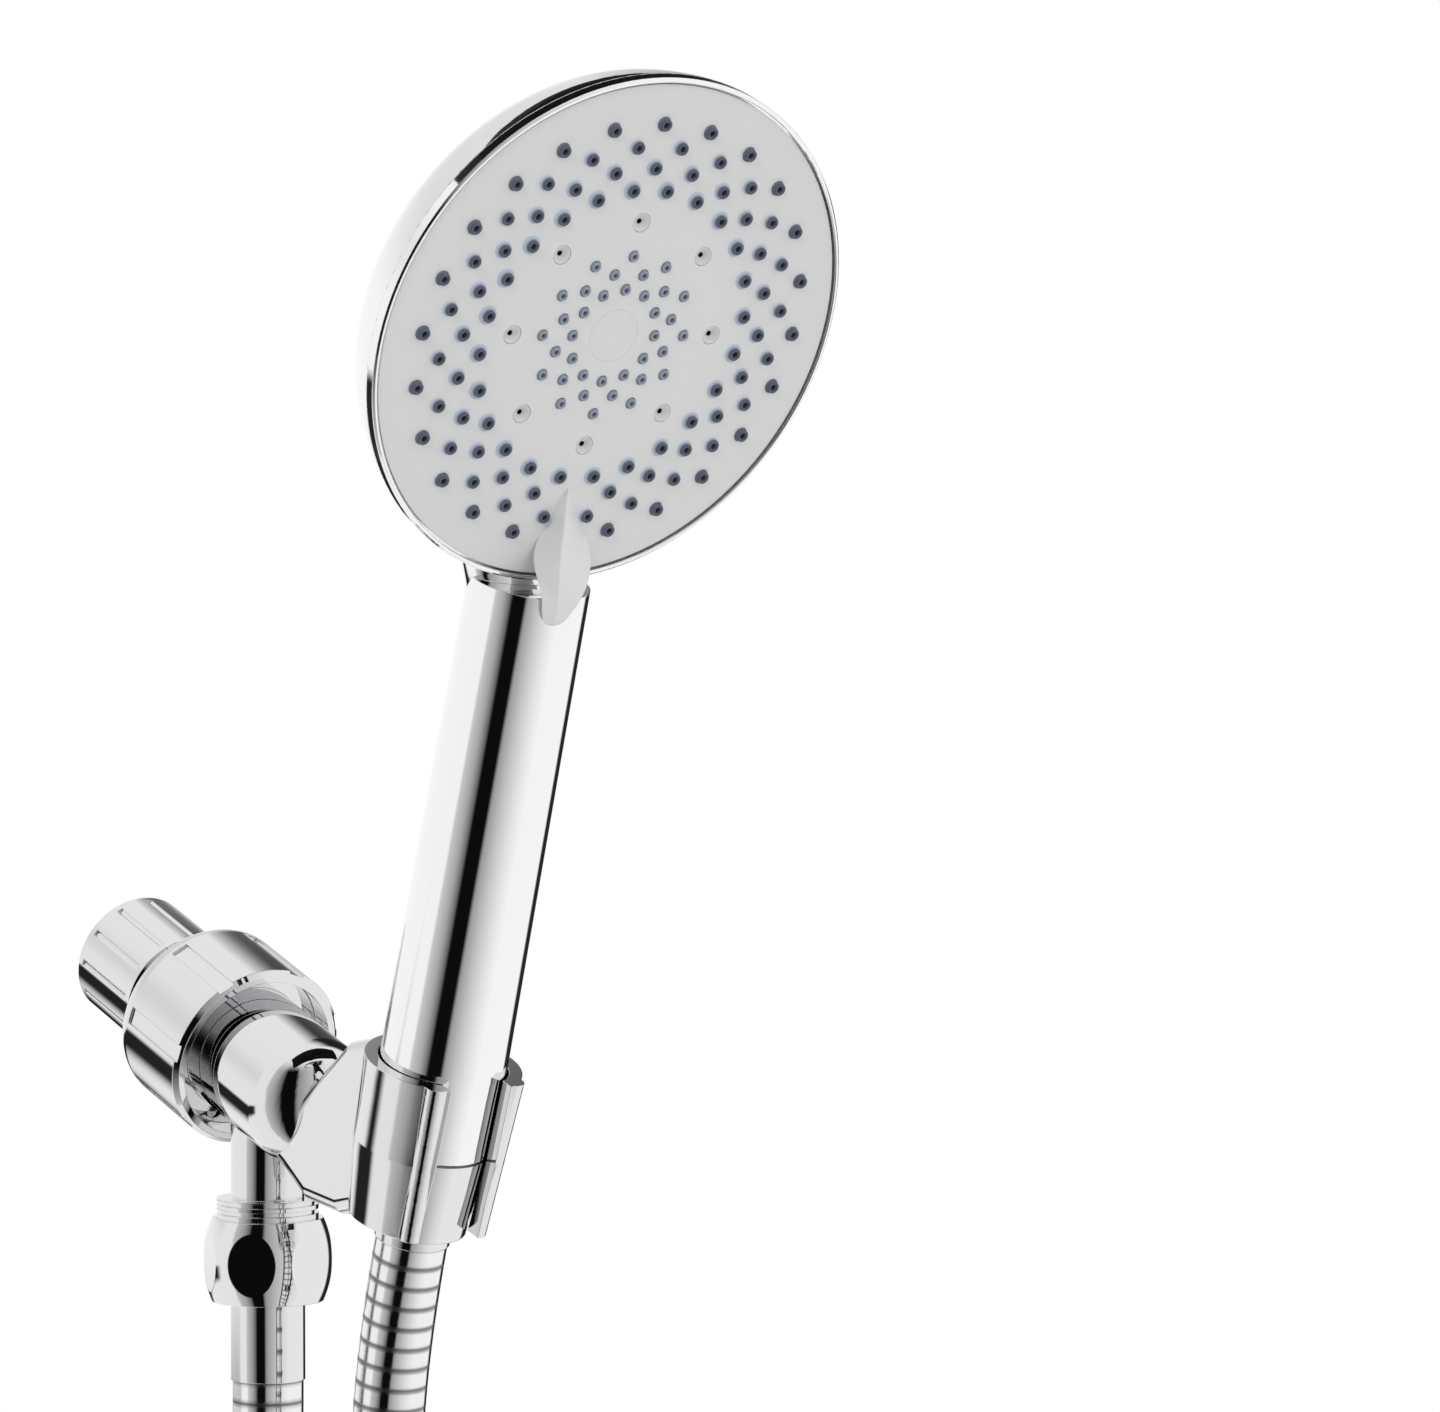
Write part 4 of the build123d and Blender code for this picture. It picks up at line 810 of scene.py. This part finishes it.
# ---- Spray face ---------------------------------------------------------------------------
def pattern_tree(material):
    """Copies of a piece round a circle, less those under the lever, moved to the face."""
    graph, wires = geometry_tree("spray_pattern", [
        ("Piece", "Object"), ("Count", "Int"), ("Radius", "Float"), ("Turn", "Float"),
        ("Height", "Float"), ("Lever Root", "Float")])
    circle = graph.node("GeometryNodeMeshCircle", {"fill_type": "NONE"},
                        {"Vertices": wires["Count"], "Radius": wires["Radius"]})
    spin = graph.node("ShaderNodeCombineXYZ", {}, {"Z": wires["Turn"]})
    lift = graph.node("ShaderNodeCombineXYZ", {}, {"Z": wires["Height"]})
    turned = graph.node("GeometryNodeTransform", {},
                        {"Geometry": circle, "Translation": lift, "Rotation": spin})
    spot = graph.node("GeometryNodeInputPosition")
    parts = graph.node("ShaderNodeSeparateXYZ", {}, [spot]).socket.node
    x, y = (Wire(graph, parts.outputs[number]) for number in range(2))
    low = y.maths("LESS_THAN", y, wires["Lever Root"] * -1.0)
    middle = x.maths("LESS_THAN", x.maths("ABSOLUTE", x), MM)
    kept = graph.node("GeometryNodeDeleteGeometry", {"domain": "POINT"},
                      {"Geometry": turned, "Selection": low * middle})
    piece = graph.node("GeometryNodeObjectInfo", {}, {"Object": wires["Piece"]},
                       output="Geometry")
    copies = graph.node("GeometryNodeInstanceOnPoints", {},
                        {"Points": kept, "Instance": piece})
    close_tree(graph, copies, material)
    return graph.tree


def nozzle_outline(radius, base, height):
    """(radius, height) points of a nozzle and how pale it is at each."""
    foot = max(base, radius * 1.12)
    pale = 1.0 if base else 0.25
    outline = [(radius, -3.2 * MM), (foot, -0.3 * MM), (foot, 0.06 * MM),
               (foot - 0.12 * MM, 0.16 * MM), (radius * 1.12, 0.2 * MM),
               (radius * 1.02, 0.42 * MM), (radius, height - 0.16 * MM),
               (radius * 0.9, height - 0.02 * MM), (radius * 0.74, height),
               (radius * 0.56, height - 0.08 * MM), (radius * 0.46, height - 0.45 * MM),
               (radius * 0.42, -1.6 * MM), (0.0, -1.6 * MM)]
    marks = [pale, pale, pale, pale, 0.75 * pale, 0.2 * pale, 0, 0, 0, 0, 0, 0, 0]
    return outline, marks


def mist_outline(radius):
    """(radius, height) points of a mist outlet: a shallow dish round a small hole."""
    return [(radius, -4.0 * MM), (radius, -0.12 * MM), (radius * 0.97, -0.02 * MM),
            (radius * 0.9, 0.0), (radius * 0.8, -0.14 * MM), (radius * 0.6, -0.55 * MM),
            (radius * 0.42, -0.82 * MM), (radius * 0.30, -0.9 * MM), (radius * 0.27, -1.05 * MM),
            (radius * 0.27, -3.4 * MM), (0.0, -3.4 * MM)]


def place_ring(name, piece_mesh, tree, count, radius, turn, height):
    """Mesh of one ring of copies, in the face's place."""
    prototype = new_object(f"{name}_one", piece_mesh)
    start = bpy.data.meshes.new(f"{name}_start")
    mesh = run_tree(name, start, tree, {
        "Piece": prototype, "Count": count, "Radius": radius * MM, "Turn": pi / 2 + turn,
        "Height": height, "Lever Root": LEVER_ROOT * MM})
    bpy.data.objects.remove(prototype)
    mesh.transform(face_frame())
    return mesh


def ring_radius(share):
    return FIRST_RING + share * (LAST_RING - FIRST_RING)


class SHOWER_OT_nozzles(bpy.types.Operator):
    """Builds the silicone mat with its nozzle tips"""
    bl_idname = "shower.nozzles"
    bl_label = "Nozzles"

    def execute(self, context):
        sizes = context.scene.shower_nozzles
        material = nozzle_rubber()
        tree = pattern_tree(material)
        rings = []
        for number, (share, base) in enumerate(OUTER_RINGS):
            outline, marks = nozzle_outline(sizes.outer_radius, base * MM, sizes.height)
            tip = lathe("tip", outline, OUTER_SIDES, marks, "foot")
            rings.append(place_ring(f"outer_{number}", tip, tree, OUTER_COLUMNS, ring_radius(share),
                                    pi / OUTER_COLUMNS * (number % 2),
                                    face_height(ring_radius(share))))
        for number, share in enumerate(INNER_SHARES):
            outline, marks = nozzle_outline(sizes.inner_radius, 0.0,
                                            sizes.height * INNER_HEIGHT)
            tip = lathe("tip", outline, INNER_SIDES, [INNER_PALE] * len(marks), "foot")
            rings.append(place_ring(f"inner_{number}", tip, tree, INNER_COLUMNS, ring_radius(share),
                                    pi / INNER_COLUMNS * (number % 2),
                                    face_height(ring_radius(share))))
        top, low = -(FACE_BACK + MAT_GAP) * MM, -MAT_BACK * MM
        mat = lathe("mat", [(MAT_BORE * MM, low), (MAT_R * MM, low), (MAT_R * MM, top),
                            (MAT_BORE * MM, top), (MAT_BORE * MM, low)], MAT_SIDES)
        mat.transform(face_frame())
        nozzles = new_object("nozzles", join("nozzles", [*rings, mat], material, ["foot"]))
        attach(nozzles, "selector")
        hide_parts("nozzle_mat")
        return {"FINISHED"}


class SHOWER_OT_mist_dishes(bpy.types.Operator):
    """Builds the mist outlets, each a dish with a small hole"""
    bl_idname = "shower.mist_dishes"
    bl_label = "Mist dishes"

    def execute(self, context):
        sizes = context.scene.shower_nozzles
        material = mist_plastic()
        tree = pattern_tree(material)
        outline = mist_outline(sizes.dish_radius)
        # painted shade: the bore mark paints the deepest points of each dish near black
        marks = [0.0] * 8 + [1.0] * 3       # the last three points are down in the bore
        radius = ring_radius(MIST_SHARE)
        dish = lathe("dish", outline, DISH_SIDES, marks, "bore")
        ring = place_ring("mist", dish, tree, MIST_COUNT, radius, 0.0,
                          face_height(radius) + DISH_PROUD * MM)
        dishes = new_object("mist_dishes", join("mist_dishes", [ring], material, ["bore"]))
        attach(dishes, "selector")
        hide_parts(*(f"mist_insert_{number + 1}" for number in range(MIST_COUNT)))
        return {"FINISHED"}


# Mode lever, as (up the face, left edge, ridge, right edge, ridge height, edge height, underside)
LEVER = (
    (-31.3, -0.9, -0.8, -0.7, -1.75, -1.8, -2.6), (-36.0, -2.2, -1.5, 2.6, 0.6, -2.2, -2.6),
    (-41.0, -4.0, -2.6, 6.2, 3.2, -2.2, -2.6), (-45.5, -5.4, -3.4, 8.2, 5.4, -1.4, -2.4),
    (-48.5, -5.8, -3.4, 6.6, 6.5, 2.2, 0.6), (-51.0, -5.8, -3.2, 3.4, 7.2, 5.9, 5.0),
    (-54.0, -5.6, -3.0, 1.6, 7.4, 6.2, 5.5), (-56.4, -4.6, -2.8, 0.2, 7.2, 6.3, 5.6),
    (-57.2, -3.4, -2.6, -1.4, 6.7, 6.3, 5.9),
)


def lever_section(up, left, ridge, right, high, edge, under):
    """Points round one section of the lever, in metres: underside, left, ridge and right."""
    shoulder = high - 0.25 * (high - edge)
    spots = [(left, under), (left - 0.15, edge - 0.1), (left, edge + 0.1),
             ((left + ridge) / 2, (edge + high) / 2), (ridge - 0.25, high - 0.15), (ridge, high),
             (ridge + 0.4, high - 0.08), ((ridge * 2 + right) / 3, shoulder),
             ((ridge + right * 2) / 3, (edge + shoulder) / 2), (right, edge + 0.1),
             (right + 0.15, edge - 0.1), (right, under)]
    return [Vector((across, up, out)) * MM for across, out in spots]


class SHOWER_OT_lever(bpy.types.Operator):
    """Builds the mode lever, a fin that runs out over the rim as a tongue"""
    bl_idname = "shower.lever"
    bl_label = "Mode lever"

    def execute(self, context):
        rings = [lever_section(*station) for station in LEVER]
        mesh = solidify_rings("lever", rings)
        mesh.transform(face_frame())
        lever = new_object("lever", mesh, bpy.data.materials["satin_white"])
        smooth = lever.modifiers.new("smooth", "SUBSURF")
        smooth.levels = 2
        smooth.render_levels = 2
        lever.data = evaluated_mesh(lever)
        lever.modifiers.clear()
        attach(lever, "selector")
        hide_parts("mode_lever")
        return {"FINISHED"}


# ---- Finishes of the CAD nodes ------------------------------------------------------------
class SHOWER_OT_finishes(bpy.types.Operator):
    """Gives every CAD node its finish"""
    bl_idname = "shower.finishes"
    bl_label = "Finishes"

    def execute(self, context):
        finish_nodes(chrome("chrome_shell"), "handset_shell", "trim_rim")
        # painted shade: the bracket and the nuts take darker copies of the shell's chrome
        finish_nodes(chrome("chrome_bracket", 0.84), "bracket_body", "ball_collar", "arm_nut")
        finish_nodes(chrome("chrome_nuts", 0.86), "hose_nut", "cone_nut", "outlet_ferrule",
                     "handset_ferrule")
        finish_nodes(satin_white(), "face_plate", "centre_cap", "mode_lever")
        rubber = plain_plastic("black_rubber", tuple(colours().rubber), 0.5, 0.7)
        finish_nodes(rubber, *(name for name in NODES if name.endswith("_washer")
                               or name.startswith("port_seal") or name == "ball_seal_ring"))
        natural = plain_plastic("natural_plastic", (0.62, 0.63, 0.64), 0.4, 0.55)
        finish_nodes(natural, "ball_cup", "ball_seat", "selector_disc", "valve_body",
                     "water_tube", "flow_restrictor")
        finish_nodes(turned_metal("turned_brass", (0.72, 0.55, 0.28), 0.12, 0.25), "ball_stem")
        spring = turned_metal("stainless", (0.62, 0.62, 0.63), 0.18, 0.32)
        finish_nodes(spring, "centre_screw", "screw_washer", "filter_screen", "detent_ball",
                     *(name for name in NODES if name.startswith("seal_spring")))
        return {"FINISHED"}


# ---- Add-on -------------------------------------------------------------------------------
OPERATORS = (SHOWER_OT_stage, SHOWER_OT_hose, SHOWER_OT_nozzles, SHOWER_OT_mist_dishes,
             SHOWER_OT_finishes, SHOWER_OT_lever)
GROUPS = {"shower_hose": HoseSizes, "shower_nozzles": NozzleSizes,
          "shower_colours": FinishColours, "shower_stage": StageSizes}


class SHOWER_PT_panel(bpy.types.Panel):
    """Lists the pieces of the shower head"""
    bl_idname = "SHOWER_PT_panel"
    bl_label = "Shower head"
    bl_space_type = "VIEW_3D"
    bl_region_type = "UI"
    bl_category = "Shower"

    def draw(self, context):
        for operator in OPERATORS:
            self.layout.operator(operator.bl_idname)


def register():
    for cls in (*GROUPS.values(), *OPERATORS, SHOWER_PT_panel):
        bpy.utils.register_class(cls)
    for name, group in GROUPS.items():
        setattr(bpy.types.Scene, name, PointerProperty(type=group))


def unregister():
    for name in GROUPS:
        delattr(bpy.types.Scene, name)
    for cls in reversed((*GROUPS.values(), *OPERATORS, SHOWER_PT_panel)):
        bpy.utils.unregister_class(cls)


def main():
    register()
    bpy.ops.shower.stage()
    bpy.ops.shower.hose()
    bpy.ops.shower.nozzles()
    bpy.ops.shower.mist_dishes()
    bpy.ops.shower.finishes()
    bpy.ops.shower.lever()


if __name__ == "__main__":
    main()
